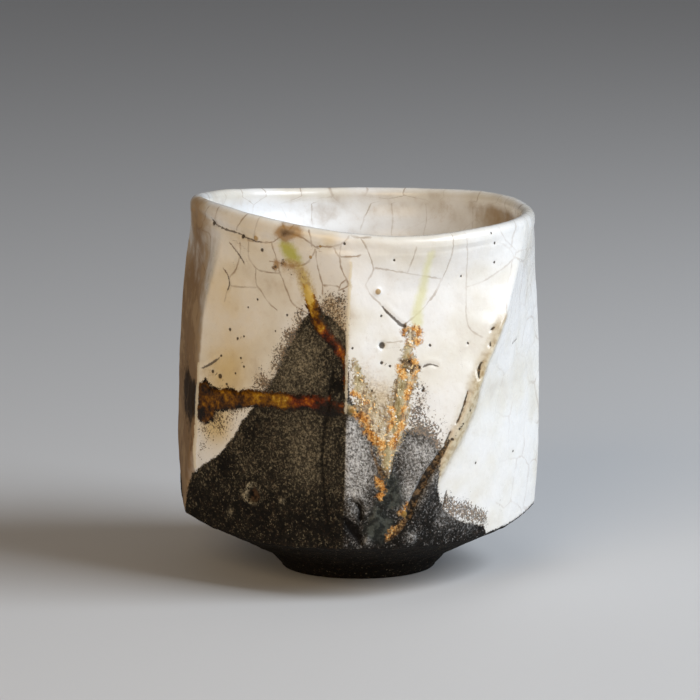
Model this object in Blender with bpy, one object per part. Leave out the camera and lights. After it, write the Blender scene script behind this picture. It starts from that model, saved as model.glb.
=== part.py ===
"""A handleless teacup of thrown and faceted raku clay, modelled as one solid.

The cup is a round-rimmed cylinder whose wall is cut into eight facets below the lip, undercut at the shoulder
and stood on a small trimmed foot ring. It is lofted ring by ring in one closed skin, from the middle of the
foot's recess, up the outside, over the lip and down the inside to the middle of the floor.

Metres, +Z up. The origin is the middle of the foot's underside. The side that faces -Y is the front.
Angles run anticlockwise seen from above, from 0 at the front: +90 is the right side and 180 the back.
"""

import math

import bmesh
import bpy
from mathutils import Vector

# Heights above the table
RIM_HEIGHT = 0.087
BELLY_HEIGHT = 0.035
SHOULDER_HEIGHT = 0.0162
FOOT_HEIGHT = 0.004

# Outer radii, to the ridges between the facets where there are any
RIM_RADIUS = 0.0415
BELLY_RADIUS = 0.0443
SHOULDER_RADIUS = 0.0436
FOOT_TOP_RADIUS = 0.0218
FOOT_RADIUS = 0.0188

# Wall, lip and floor
LIP_WIDTH = 0.0036
WALL_THICKNESS = 0.0038
FLOOR_THICKNESS = 0.0070
HOLLOW_CORNER_RADIUS = 0.016
LIP_RUN_OUT = 0.007

# Foot ring
FOOT_RING_WIDTH = 0.0055
FOOT_RECESS = 0.0025
FOOT_EDGE_RADIUS = 0.0007

# The round band under the lip, and the ledge where the facets' cuts stop
BAND_HEIGHT = 0.0038
LEDGE_DEPTH = 0.0003
LEDGE_HEIGHT = 0.0012

# How far down a cut takes to turn from round to flat, the share of the turn already made at the ledge, how
# much of the round a facet keeps, and the deepest that a wide facet is cut
CUT_RUN_OUT = 0.014
CUT_START = 0.25
FACET_CROWN = 0.14
CUT_DEPTH = 0.0040

# Unevenness of a cup made by hand: the rim leans to the right of the foot, its height waves, and the
# shoulder is trimmed lower at the front than at the back. The trimming is felt this far up the wall.
RIM_LEAN = 0.0010
SHOULDER_TILT = 0.0034
TRIM_REACH = 0.025
RIM_WAVES = (
    # angle in degrees, half width in degrees, height in metres
    (-68.0, 48.0, 0.0042),
    (15.0, 30.0, -0.0012),
    (135.0, 30.0, 0.0006),
)

# The ridges between the facets: angle under the rim, half way down and at the shoulder, in degrees, and how
# far each stands out of the round in metres. The third is swept: it runs slantwise across the front right.
RIDGES = (
    (-63.0, -62.0, -72.0, 0.0002),
    (-3.6, -4.0, -4.4, 0.0),
    (67.0, 38.5, 13.0, 0.0),
    (92.0, 90.0, 86.0, -0.0006),
    (134.0, 132.0, 130.0, 0.0002),
    (178.0, 176.0, 174.0, 0.0002),
    (219.0, 218.0, 217.0, 0.0004),
    (260.0, 260.0, 259.0, 0.0009),
)
STANDS_OUT = 3

# Edges that turn by more than this many degrees are shaded sharp
SHARP_EDGE = 20.0

# Mesh density
COLUMNS_PER_FACET = 7
BODY_RINGS = 15
LIP_RINGS = 6
INNER_RINGS = 11
CORNER_RINGS = 6

CLAY_COLOUR = (0.80, 0.74, 0.64, 1.0)
CLAY_ROUGHNESS = 0.35


def smooth_step(share):
    """0 to 1 with level ends."""
    share = min(max(share, 0.0), 1.0)
    return share * share * (3.0 - 2.0 * share)


def blend(a, b, share):
    return a + (b - a) * share


def body_top():
    """Height of the ledge where the facets begin."""
    return RIM_HEIGHT - BAND_HEIGHT


def ridge_radius(height):
    """Radius of the ridges: widest at the belly, drawn in to the rim above and to the shoulder below."""
    if height >= BELLY_HEIGHT:
        share = (height - BELLY_HEIGHT) / (body_top() - BELLY_HEIGHT)
        return blend(BELLY_RADIUS, RIM_RADIUS, min(share, 1.0) ** 2)
    share = (BELLY_HEIGHT - height) / (BELLY_HEIGHT - SHOULDER_HEIGHT)
    return blend(BELLY_RADIUS, SHOULDER_RADIUS, min(share, 1.0) ** 2)


def ridge_angle(ridge, height):
    """Angle of a ridge, in degrees, at a height on the body: the parabola through its three angles."""
    top, middle, bottom, _ = ridge
    share = (height - SHOULDER_HEIGHT) / (body_top() - SHOULDER_HEIGHT)
    share = min(max(share, 0.0), 1.0)
    outer = bottom * (1.0 - share) * (1.0 - 2.0 * share) + top * share * (2.0 * share - 1.0)
    return outer + 4.0 * middle * share * (1.0 - share)


def cut_share(height):
    """0 where the wall is still round under the rim, 1 where the cuts have gone fully flat."""
    return smooth_step((body_top() - height) / CUT_RUN_OUT + CUT_START)


def polar(radius, degrees):
    angle = math.radians(degrees)
    return Vector((radius * math.sin(angle), -radius * math.cos(angle)))


def facet_columns(height):
    """(angle, ridge index, share of the facet) of each column round the cup at a height."""
    columns = []
    for index, ridge in enumerate(RIDGES):
        following = RIDGES[(index + 1) % len(RIDGES)]
        start = ridge_angle(ridge, height)
        end = ridge_angle(following, height)
        if end < start:
            end += 360.0
        for step in range(COLUMNS_PER_FACET):
            share = step / COLUMNS_PER_FACET
            columns.append((blend(start, end, share), index, share))
    return columns


def undercut_slope():
    """Rise of the undercut for each metre out, from the foot to the shoulder."""
    return (SHOULDER_HEIGHT - FOOT_HEIGHT) / (SHOULDER_RADIUS - FOOT_TOP_RADIUS)


def trim_share(height):
    """1 at the shoulder, where the undercut bounds the wall, falling to 0 up the wall."""
    return min(max(1.0 - (height - SHOULDER_HEIGHT) / TRIM_REACH, 0.0), 1.0)


def facet_crown(radius, degrees):
    """How much of the round a facet this wide keeps: more where a flat cut would go too deep."""
    flat_depth = radius * (1.0 - math.cos(math.radians(degrees / 2)))
    return max(FACET_CROWN, 1.0 - CUT_DEPTH / flat_depth)


def faceted_ring(height, inset=0.0):
    """The outline of the body at a height: straight facets, crowned a little, between the ridges."""
    radius = ridge_radius(height)
    flat = cut_share(height)
    ring = []
    for angle, index, share in facet_columns(height):
        following = (index + 1) % len(RIDGES)
        start = radius - inset + RIDGES[index][STANDS_OUT] * flat
        end = radius - inset + RIDGES[following][STANDS_OUT] * flat
        first_angle = ridge_angle(RIDGES[index], height)
        last_angle = ridge_angle(RIDGES[following], height)
        crown = blend(1.0, facet_crown(radius, (last_angle - first_angle) % 360.0), flat)
        chord = polar(start, first_angle).lerp(polar(end, last_angle), share)
        arc = polar(blend(start, end, share), angle)
        place = chord.lerp(arc, crown)
        level = height - trim_share(height) * undercut_slope() * (radius - place.length)
        ring.append(place.to_3d() + Vector((0.0, 0.0, level)))
    return ring


def round_ring(radius, height, columns_at):
    """A round ring on the columns that the body has at the height columns_at."""
    level = Vector((0.0, 0.0, height))
    return [polar(radius, angle).to_3d() + level for angle, _, _ in facet_columns(columns_at)]


def wave_height(point):
    """How far the rim rises or dips on the side of the cup where a point is."""
    angle = math.degrees(math.atan2(point.x, -point.y))
    rise = 0.0
    for centre, half_width, height in RIM_WAVES:
        away = (angle - centre + 180.0) % 360.0 - 180.0
        rise += height * math.exp(-((away / half_width) ** 2))
    return rise


def shoulder_drop(point):
    """How far the tilted shoulder lowers a point at the front, or lifts one at the back."""
    above_foot = (point.z - FOOT_HEIGHT) / (SHOULDER_HEIGHT - FOOT_HEIGHT)
    near = min(max(above_foot, 0.0), trim_share(point.z))
    return SHOULDER_TILT * near * -point.y / SHOULDER_RADIUS


def uneven(point):
    """A point of the true round cup, moved as the potter's hands left it. The foot stays level."""
    share = max(0.0, point.z - SHOULDER_HEIGHT) / (RIM_HEIGHT - SHOULDER_HEIGHT)
    lift = wave_height(point) * share**2 - shoulder_drop(point)
    return point + Vector((RIM_LEAN * share, 0.0, lift))


def foot_rings():
    """The recess under the foot, the ring that the cup stands on, and the undercut up to the shoulder."""
    recess_radius = FOOT_RADIUS - FOOT_RING_WIDTH
    edge = FOOT_EDGE_RADIUS
    profile = [
        (recess_radius - edge, FOOT_RECESS),
        (recess_radius, FOOT_RECESS - edge),
        (recess_radius, edge),
        (recess_radius + edge, 0.0),
        (FOOT_RADIUS - edge, 0.0),
        (FOOT_RADIUS, edge),
        (FOOT_TOP_RADIUS, FOOT_HEIGHT),
    ]
    rings = [round_ring(radius, height, SHOULDER_HEIGHT) for radius, height in profile]
    shoulder = faceted_ring(SHOULDER_HEIGHT)
    half_way = [low.lerp(high, 0.5) for low, high in zip(rings[-1], shoulder)]
    return rings + [half_way]


def body_rings():
    """The faceted wall, from the shoulder to the ledge under the band."""
    rings = []
    ledge_foot = body_top() - LEDGE_HEIGHT
    for step in range(BODY_RINGS):
        height = blend(SHOULDER_HEIGHT, ledge_foot, step / (BODY_RINGS - 1))
        inset = LEDGE_DEPTH * smooth_step(1.0 - (ledge_foot - height) / CUT_RUN_OUT)
        rings.append(faceted_ring(height, inset))
    return rings


def lip_rings():
    """The round band and the rolled lip, from the ledge over the crest to the inner wall."""
    half = LIP_WIDTH / 2
    rings = [faceted_ring(body_top())]
    for step in range(LIP_RINGS + 1):
        turn = math.pi * step / LIP_RINGS
        radius = RIM_RADIUS - half + half * math.cos(turn)
        height = RIM_HEIGHT - half + half * math.sin(turn)
        rings.append(round_ring(radius, height, body_top()))
    return rings


def hollow_radius(height):
    """Radius of the round hollow: a wall's thickness inside the deepest facet at that height."""
    height = min(height, body_top())
    nearest = min(point.xy.length for point in faceted_ring(height))
    return nearest - WALL_THICKNESS


def hollow_rings():
    """The inner wall, from under the lip, and the rounded corner down to the floor."""
    floor = FOOT_RECESS + FLOOR_THICKNESS
    corner_top = floor + HOLLOW_CORNER_RADIUS
    lip_bottom = RIM_HEIGHT - BAND_HEIGHT
    lip_inside = RIM_RADIUS - LIP_WIDTH
    rings = []
    for step in range(1, INNER_RINGS + 1):
        height = blend(lip_bottom, corner_top, (step - 1) / (INNER_RINGS - 1))
        near_lip = smooth_step(1.0 - (lip_bottom - height) / LIP_RUN_OUT)
        radius = blend(hollow_radius(height), lip_inside, near_lip)
        rings.append(round_ring(radius, height, body_top()))
    corner_radius = hollow_radius(corner_top) - HOLLOW_CORNER_RADIUS
    for step in range(1, CORNER_RINGS + 1):
        turn = math.pi / 2 * step / CORNER_RINGS
        radius = corner_radius + HOLLOW_CORNER_RADIUS * math.cos(turn)
        height = corner_top - HOLLOW_CORNER_RADIUS * math.sin(turn)
        rings.append(round_ring(radius, height, body_top()))
    return rings


def loft(name, rings, first_centre, last_centre):
    """A closed skin over a row of rings with equal counts of points, capped by a fan at each end."""
    mesh = bmesh.new()
    rows = [[mesh.verts.new(uneven(point)) for point in ring] for ring in rings]
    start = mesh.verts.new(uneven(first_centre))
    end = mesh.verts.new(uneven(last_centre))
    count = len(rows[0])
    for low, high in zip(rows, rows[1:]):
        for column in range(count):
            following = (column + 1) % count
            mesh.faces.new((low[column], low[following], high[following], high[column]))
    for column in range(count):
        following = (column + 1) % count
        mesh.faces.new((start, rows[0][following], rows[0][column]))
        mesh.faces.new((end, rows[-1][column], rows[-1][following]))
    bmesh.ops.recalc_face_normals(mesh, faces=mesh.faces)
    data = bpy.data.meshes.new(name)
    mesh.to_mesh(data)
    mesh.free()
    data.shade_smooth()
    data.set_sharp_from_angle(angle=math.radians(SHARP_EDGE))
    return bpy.data.objects.new(name, data)


def glazed_clay():
    material = bpy.data.materials.new("glazed_clay")
    material.use_nodes = True
    shader = material.node_tree.nodes["Principled BSDF"]
    shader.inputs["Base Color"].default_value = CLAY_COLOUR
    shader.inputs["Roughness"].default_value = CLAY_ROUGHNESS
    shader.inputs["Metallic"].default_value = 0.0
    material.diffuse_color = CLAY_COLOUR
    return material


def build():
    for old in list(bpy.data.objects):
        bpy.data.objects.remove(old)
    teacup = bpy.data.collections.new("handleless_teacup")
    bpy.context.scene.collection.children.link(teacup)
    under_foot = Vector((0.0, 0.0, FOOT_RECESS))
    floor = Vector((0.0, 0.0, FOOT_RECESS + FLOOR_THICKNESS))
    rings = foot_rings() + body_rings() + lip_rings() + hollow_rings()
    cup = loft("cup", rings, under_foot, floor)
    cup.data.materials.append(glazed_clay())
    teacup.objects.link(cup)


build()
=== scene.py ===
"""The looks of a handleless raku teacup, dressed over its solid.

One fine mesh stands for the cup. It is lofted from the same sizes as the solid, then gets the relief of the
real surface: waves left by the cutting wire, a torn ridge, runs of amber glass, blisters and bare grainy clay.
Fields stored on its points say where each glaze lies and where light and shade are painted in, and one material paints
them.

Metres, +Z up. The origin is the middle of the foot's underside and -Y is the front. Angles run anticlockwise
seen from above, in degrees from the front: +90 is the right side and 180 the back. Marks on the visible side
are placed by their pixel in the 700 x 700 photograph, and carried onto the wall by a ray from the camera.
"""

import math

import bpy
import numpy as np
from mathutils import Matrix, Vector, noise
from mathutils.bvhtree import BVHTree


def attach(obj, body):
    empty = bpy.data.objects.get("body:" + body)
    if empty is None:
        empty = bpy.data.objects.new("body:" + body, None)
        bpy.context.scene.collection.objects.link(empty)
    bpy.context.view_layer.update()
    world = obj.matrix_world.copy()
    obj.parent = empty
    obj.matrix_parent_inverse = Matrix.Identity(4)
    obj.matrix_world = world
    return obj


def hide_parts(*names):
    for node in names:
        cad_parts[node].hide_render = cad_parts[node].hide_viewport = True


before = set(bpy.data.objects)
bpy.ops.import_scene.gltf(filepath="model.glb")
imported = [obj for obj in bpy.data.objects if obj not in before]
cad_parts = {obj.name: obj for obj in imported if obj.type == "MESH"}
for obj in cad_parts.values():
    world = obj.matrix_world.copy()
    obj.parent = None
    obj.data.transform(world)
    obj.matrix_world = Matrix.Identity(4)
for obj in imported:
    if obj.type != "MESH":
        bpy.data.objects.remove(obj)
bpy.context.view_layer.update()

# Sizes of the solid, in metres and degrees
RIM_HEIGHT = 0.087
BELLY_HEIGHT = 0.035
SHOULDER_HEIGHT = 0.0162
FOOT_HEIGHT = 0.004
RIM_RADIUS = 0.0415
BELLY_RADIUS = 0.0443
SHOULDER_RADIUS = 0.0436
FOOT_TOP_RADIUS = 0.0218
FOOT_RADIUS = 0.0188
LIP_WIDTH = 0.0036
WALL_THICKNESS = 0.0038
FLOOR_THICKNESS = 0.0070
HOLLOW_CORNER_RADIUS = 0.016
LIP_RUN_OUT = 0.007
FOOT_RING_WIDTH = 0.0055
FOOT_RECESS = 0.0025
FOOT_EDGE_RADIUS = 0.0007
BAND_HEIGHT = 0.0038
CUT_RUN_OUT = 0.014
CUT_START = 0.25
FACET_CROWN = 0.14
CUT_DEPTH = 0.0040
RIM_LEAN = 0.0010
SHOULDER_TILT = 0.0034
TRIM_REACH = 0.025
# angle in degrees, half width in degrees, height in metres
RIM_WAVES = (
    (-68.0, 48.0, 0.0042), (15.0, 30.0, -0.0012), (135.0, 30.0, 0.0006), (-126.0, 30.0, 0.0009), (118.0, 20.0, 0.0005),
)
# angle under the rim, half way down and at the shoulder, and how far the ridge stands out of the round
RIDGES = np.array((
    (-63.0, -62.0, -72.0, 0.0002),
    (-3.6, -4.0, -4.4, 0.0),
    (67.0, 38.5, 13.0, 0.0),
    (92.0, 90.0, 86.0, -0.0006),
    (134.0, 132.0, 130.0, 0.0002),
    (178.0, 176.0, 174.0, 0.0002),
    (219.0, 218.0, 217.0, 0.0004),
    (260.0, 260.0, 259.0, 0.0009),
))
BODY_TOP = RIM_HEIGHT - BAND_HEIGHT
# How far the left front ridge turns toward the front as it fades out under the lip, in degrees
LEFT_RIDGE_TURN = 10.0

# Density of the fine mesh: columns across each facet, in fours, and rings on each stretch of the wall
FACET_COLUMNS = (108, 92, 84, 36, 32, 32, 32, 36)
BODY_RINGS = 148
UNDERCUT_RINGS = 24
LIP_RINGS = 16
INNER_RINGS = 34
CORNER_RINGS = 14
FLOOR_RINGS = 8

# The camera, as the photograph was taken: how far away, how steep, and where the aim falls in the picture
CAMERA_DISTANCE = 1.1
CAMERA_PITCH = math.radians(10.0)
AIM = np.array((0.0, 0.0, 0.044))
AIM_PIXEL = (358.5, 385.3)
PICTURE = 700.0
PIXELS_PER_SLOPE = 4537.0
SENSOR = 36.0

MM = 0.001
MM_PER_DEGREE = 0.77
PIXELS_PER_MM = 4.2


# ---- camera and picture places

FORWARD = np.array((0.0, math.cos(CAMERA_PITCH), -math.sin(CAMERA_PITCH)))
UPWARD = np.array((0.0, math.sin(CAMERA_PITCH), math.cos(CAMERA_PITCH)))
RIGHTWARD = np.array((1.0, 0.0, 0.0))
EYE = AIM - FORWARD * CAMERA_DISTANCE

solid = BVHTree.FromObject(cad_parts["cup"], bpy.context.evaluated_depsgraph_get())


def place_of(points):
    """(degrees round the cup, millimetres up) of an array of points."""
    degrees = np.degrees(np.arctan2(points[..., 0], -points[..., 1]))
    return np.stack([degrees, points[..., 2] / MM], axis=-1)


def seen(*pixels):
    """The places on the cup's wall that show at these pixels of the photograph."""
    places = []
    for x, y in pixels:
        across = (x - AIM_PIXEL[0]) / PIXELS_PER_SLOPE
        up = (AIM_PIXEL[1] - y) / PIXELS_PER_SLOPE
        ray = FORWARD + RIGHTWARD * across + UPWARD * up
        point = solid.ray_cast(Vector(EYE), Vector(ray).normalized())[0]
        if point is None:
            raise ValueError(f"pixel {x}, {y} misses the cup")
        places.append(place_of(np.array(point)))
    return np.array(places)


def make_camera():
    data = bpy.data.cameras.new("camera")
    data.sensor_width = SENSOR
    data.lens = PIXELS_PER_SLOPE / PICTURE * SENSOR
    data.shift_x = (PICTURE / 2 - AIM_PIXEL[0]) / PICTURE
    data.shift_y = (AIM_PIXEL[1] - PICTURE / 2) / PICTURE
    data.clip_end = 20.0
    camera = bpy.data.objects.new("camera", data)
    camera.location = EYE
    camera.rotation_euler = (math.pi / 2 - CAMERA_PITCH, 0.0, 0.0)
    bpy.context.scene.collection.objects.link(camera)
    bpy.context.scene.camera = camera


# ---- the fine loft

FACET_OF = np.repeat(np.arange(len(RIDGES)), FACET_COLUMNS)
NEXT_OF = (FACET_OF + 1) % len(RIDGES)
SHARE_OF = np.concatenate([np.arange(count) / count for count in FACET_COLUMNS])


def blend(a, b, share):
    return a + (b - a) * share


def smooth_step(value, low=0.0, high=1.0):
    share = np.clip((value - low) / (high - low), 0.0, 1.0)
    return share * share * (3.0 - 2.0 * share)


def ridge_radius(height):
    if height >= BELLY_HEIGHT:
        share = (height - BELLY_HEIGHT) / (BODY_TOP - BELLY_HEIGHT)
        return blend(BELLY_RADIUS, RIM_RADIUS, min(share, 1.0) ** 2)
    share = (BELLY_HEIGHT - height) / (BELLY_HEIGHT - SHOULDER_HEIGHT)
    return blend(BELLY_RADIUS, SHOULDER_RADIUS, min(share, 1.0) ** 2)


def ridge_angles(height):
    """Angles of all the ridges at a height, and of the ridge that follows each."""
    top, middle, bottom, _ = RIDGES.T
    share = np.clip((height - SHOULDER_HEIGHT) / (BODY_TOP - SHOULDER_HEIGHT), 0.0, 1.0)
    outer = bottom * (1.0 - share) * (1.0 - 2.0 * share) + top * share * (2.0 * share - 1.0)
    first = outer + 4.0 * middle * share * (1.0 - share)
    first[0] += LEFT_RIDGE_TURN * smooth_step(share, 0.62, 1.0)
    last = np.roll(first, -1)
    return first, last + 360.0 * (last < first)


def polar(radius, degrees):
    angle = np.radians(degrees)
    return np.stack([radius * np.sin(angle), -radius * np.cos(angle)], axis=-1)


def faceted_ring(height, inset=0.0):
    """The outline of the faceted wall at a height."""
    radius = ridge_radius(height)
    flat = smooth_step((BODY_TOP - height) / CUT_RUN_OUT + CUT_START)
    first, last = ridge_angles(height)
    flat_depth = radius * (1.0 - np.cos(np.radians(last - first) / 2))
    crown = blend(1.0, np.maximum(FACET_CROWN, 1.0 - CUT_DEPTH / flat_depth), flat)[FACET_OF, None]
    stands = radius - inset + RIDGES[:, 3] * flat
    start, end = stands[FACET_OF], stands[NEXT_OF]
    share = SHARE_OF[:, None]
    chord = blend(polar(start, first[FACET_OF]), polar(end, last[FACET_OF]), share)
    arc = polar(blend(start, end, SHARE_OF), blend(first[FACET_OF], last[FACET_OF], SHARE_OF))
    place = blend(chord, arc, crown)
    slope = (SHOULDER_HEIGHT - FOOT_HEIGHT) / (SHOULDER_RADIUS - FOOT_TOP_RADIUS)
    trim = np.clip(1.0 - (height - SHOULDER_HEIGHT) / TRIM_REACH, 0.0, 1.0)
    level = height - trim * slope * (radius - np.linalg.norm(place, axis=1))
    return np.column_stack([place, level])


def round_ring(radius, height, columns_at):
    """A round ring on the columns that the wall has at the height columns_at."""
    first, last = ridge_angles(columns_at)
    place = polar(radius, blend(first[FACET_OF], last[FACET_OF], SHARE_OF))
    return np.column_stack([place, np.full(len(place), height)])


def soften_ridges(ring):
    """Rounds the corners of a ring a little, as glaze does."""
    for _ in range(3):
        ring = (np.roll(ring, 1, axis=0) + 2.0 * ring + np.roll(ring, -1, axis=0)) / 4.0
    return ring


def uneven(points):
    """Moves points of the true cup as the potter's hands left it."""
    degrees = place_of(points)[:, 0]
    height = points[:, 2]
    share = np.maximum(0.0, height - SHOULDER_HEIGHT) / (RIM_HEIGHT - SHOULDER_HEIGHT)
    rise = np.zeros(len(points))
    for centre, half_width, most in RIM_WAVES:
        away = (degrees - centre + 180.0) % 360.0 - 180.0
        rise += most * np.exp(-((away / half_width) ** 2))
    above_foot = (height - FOOT_HEIGHT) / (SHOULDER_HEIGHT - FOOT_HEIGHT)
    trim = np.clip(1.0 - (height - SHOULDER_HEIGHT) / TRIM_REACH, 0.0, 1.0)
    near = np.minimum(np.maximum(above_foot, 0.0), trim)
    drop = SHOULDER_TILT * near * -points[:, 1] / SHOULDER_RADIUS
    moved = points.copy()
    moved[:, 0] += RIM_LEAN * share
    moved[:, 2] += rise * share**2 - drop
    return moved


def foot_profile():
    """(radius, height) round the recess, over the foot ring and up to where the undercut starts."""
    recess = FOOT_RADIUS - FOOT_RING_WIDTH
    edge = FOOT_EDGE_RADIUS
    turns = np.radians((0.0, 30.0, 60.0, 90.0))
    profile = [(recess * share, FOOT_RECESS) for share in (0.25, 0.5, 0.75)]
    profile += [(recess - edge + edge * math.sin(t), FOOT_RECESS - edge + edge * math.cos(t)) for t in turns]
    profile += [(recess + edge - edge * math.cos(t), edge - edge * math.sin(t)) for t in turns]
    profile += [(blend(recess + edge, FOOT_RADIUS - edge, share), 0.0) for share in (0.33, 0.67)]
    profile += [(FOOT_RADIUS - edge + edge * math.sin(t), edge - edge * math.cos(t)) for t in turns]
    low = profile[-1]
    profile += [
        (blend(low[0], FOOT_TOP_RADIUS, share), blend(low[1], FOOT_HEIGHT, share))
        for share in (0.25, 0.5, 0.75, 1.0)
    ]
    return profile


def all_rings():
    """(ring, column step, stretch) from the middle of the recess to the middle of the floor."""
    rings = [(round_ring(r, h, SHOULDER_HEIGHT), 4, "foot") for r, h in foot_profile()]
    foot_top = rings[-1][0]
    shoulder = soften_ridges(faceted_ring(SHOULDER_HEIGHT))
    for share in np.linspace(0.0, 1.0, UNDERCUT_RINGS + 2)[1:-1]:
        rings.append((blend(foot_top, shoulder, share), 2, "undercut"))
    for height in np.linspace(SHOULDER_HEIGHT, BODY_TOP, BODY_RINGS):
        rings.append((soften_ridges(faceted_ring(height)), 1, "body"))
    half = LIP_WIDTH / 2
    for turn in np.linspace(-0.25 * math.pi, math.pi, LIP_RINGS):
        out = half * math.cos(max(turn, 0.0))
        up = half * math.sin(turn) if turn > 0.0 else half * turn / 1.2
        rings.append((round_ring(RIM_RADIUS - half + out, RIM_HEIGHT - half + up, BODY_TOP), 1, "lip"))
    floor = FOOT_RECESS + FLOOR_THICKNESS
    corner_top = floor + HOLLOW_CORNER_RADIUS
    lip_inside = RIM_RADIUS - LIP_WIDTH
    for height in np.linspace(BODY_TOP, corner_top, INNER_RINGS):
        near_lip = smooth_step(1.0 - (BODY_TOP - height) / LIP_RUN_OUT)
        radius = blend(hollow_radius(height), lip_inside, near_lip)
        rings.append((round_ring(radius, height, BODY_TOP), 2, "inner"))
    corner = HOLLOW_CORNER_RADIUS
    corner_radius = hollow_radius(corner_top) - corner
    for turn in np.linspace(0.0, math.pi / 2, CORNER_RINGS + 1)[1:]:
        ring = round_ring(
            corner_radius + corner * math.cos(turn), corner_top - corner * math.sin(turn), BODY_TOP
        )
        rings.append((ring, 2, "inner"))
    for share in np.linspace(1.0, 0.0, FLOOR_RINGS + 1)[1:-1]:
        rings.append((round_ring(corner_radius * share, floor, BODY_TOP), 4, "inner"))
    return rings


def hollow_radius(height):
    ring = faceted_ring(min(height, BODY_TOP))
    return np.linalg.norm(ring[:, :2], axis=1).min() - WALL_THICKNESS


def skin():
    """Points, faces and the stretch of each point, of the closed skin before its relief."""
    points = [np.array([[0.0, 0.0, FOOT_RECESS]])]
    stretches = ["foot"]
    rows = []
    count = 1
    for ring, step, stretch in all_rings():
        thinned = ring[::step]
        rows.append(np.arange(count, count + len(thinned)))
        points.append(thinned)
        stretches += [stretch] * len(thinned)
        count += len(thinned)
    points.append(np.array([[0.0, 0.0, FOOT_RECESS + FLOOR_THICKNESS]]))
    stretches.append("inner")
    faces = []
    for low, high in zip(rows, rows[1:]):
        faces += strip(low, high)
    first, last = rows[0], rows[-1]
    faces += [(0, first[(i + 1) % len(first)], first[i]) for i in range(len(first))]
    faces += [(count, last[i], last[(i + 1) % len(last)]) for i in range(len(last))]
    return uneven(np.concatenate(points)), faces, np.array(stretches)


def strip(low, high):
    """Faces between two rings, where one may have twice the other's columns."""
    if len(high) == 2 * len(low):
        return [tuple(reversed(face)) for face in strip(high, low)]
    faces = []
    step = len(low) // len(high)
    for i in range(len(high)):
        along = [low[(i * step + k) % len(low)] for k in range(step + 1)]
        faces.append((*along, high[(i + 1) % len(high)], high[i]))
    return faces


# ---- fields on the wall

def apart(places, other):
    """Millimetres along and up from one place to an array of places, the short way round."""
    along = (places[:, 0] - other[0] + 180.0) % 360.0 - 180.0
    return np.column_stack([along * MM_PER_DEGREE, places[:, 1] - other[1]])


def nearest_on_path(places, path):
    """Signed offset from a path in mm, how far along it (0 to 1) the nearest point is, and overrun of its ends."""
    best = np.full(len(places), 1e9)
    side = np.zeros(len(places))
    along = np.zeros(len(places))
    overrun = np.zeros(len(places))
    legs = [apart(path[i + 1 : i + 2], path[i])[0] for i in range(len(path) - 1)]
    lengths = [np.hypot(*leg) for leg in legs]
    total = sum(lengths)
    done = 0.0
    for i, leg in enumerate(legs):
        away = apart(places, path[i])
        run = away @ leg / lengths[i] ** 2
        held = np.clip(run, 0.0, 1.0)
        rest = away - held[:, None] * leg
        distance = np.hypot(rest[:, 0], rest[:, 1])
        cross = leg[0] * away[:, 1] - leg[1] * away[:, 0]
        closer = distance < best
        best = np.where(closer, distance, best)
        side = np.where(closer, np.sign(cross), side)
        along = np.where(closer, (done + held * lengths[i]) / total, along)
        past = np.zeros(len(places))
        if i == 0:
            past = np.maximum(past, -run * lengths[i])
        if i == len(legs) - 1:
            past = np.maximum(past, (run - 1.0) * lengths[i])
        overrun = np.where(closer, past, overrun)
        done += lengths[i]
    return best * np.where(side == 0.0, 1.0, side), along, overrun


def inside_outline(places, outline):
    """Signed distance in mm to a closed outline, positive inside."""
    centre = outline.mean(axis=0)
    spots = apart(places, centre)
    corners = apart(outline, centre)
    best = np.full(len(places), 1e9)
    inside = np.zeros(len(places), bool)
    for a, b in zip(corners, np.roll(corners, -1, axis=0)):
        leg = b - a
        away = spots - a
        held = np.clip(away @ leg / (leg @ leg), 0.0, 1.0)
        rest = away - held[:, None] * leg
        best = np.minimum(best, np.hypot(rest[:, 0], rest[:, 1]))
        crosses = (a[1] > spots[:, 1]) != (b[1] > spots[:, 1])
        where = a[0] + (spots[:, 1] - a[1]) * leg[0] / (leg[1] if leg[1] else 1e-9)
        inside ^= crosses & (spots[:, 0] < where)
    return np.where(inside, best, -best)


def runs_of_glaze(places, runs):
    return np.maximum.reduce([run_of_glaze(places, marks)[0] for marks in runs])


def run_of_glaze(places, marks):
    """Signed distance in mm, positive inside, to a run drawn as (x, y, half width) pixels, and share along it."""
    marks = rounded_marks(np.array(marks, float))
    path = seen(*marks[:, :2])
    offset, along, _ = nearest_on_path(places, path)
    stations = np.linspace(0.0, 1.0, 200)
    steps = np.hypot(*(apart(path[1:], path[0]) - apart(path[:-1], path[0])).T)
    knots = np.concatenate([[0.0], np.cumsum(steps)]) / steps.sum()
    half_width = np.interp(along, knots, marks[:, 2] / PIXELS_PER_MM)
    return half_width - np.abs(offset), along


def thin_marks(places, runs):
    """Signed offset in mm from the nearest of some thin runs, and its half width there, less past its ends."""
    offsets = np.full(len(places), 9.0)
    widths = np.zeros(len(places))
    gaps = np.full(len(places), 9.0)
    for marks in runs:
        marks = rounded_marks(np.array(marks, float))
        path = seen(*marks[:, :2])
        low, high = path.min(axis=0) - CRACK_MARGIN, path.max(axis=0) + CRACK_MARGIN
        close = np.flatnonzero(((places > low) & (places < high)).all(axis=1))
        offset, along, overrun = nearest_on_path(places[close], path)
        steps = np.hypot(*(apart(path[1:], path[0]) - apart(path[:-1], path[0])).T)
        knots = np.concatenate([[0.0], np.cumsum(steps)]) / steps.sum()
        width = np.interp(along, knots, marks[:, 2] / PIXELS_PER_MM) - overrun
        nearer = np.abs(offset) - width < gaps[close]
        spots = close[nearer]
        offsets[spots], widths[spots] = offset[nearer], width[nearer]
        gaps[spots] = (np.abs(offset) - width)[nearer]
    return np.column_stack([offsets, np.maximum(widths, -1.0), np.zeros(len(places))])


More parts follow.
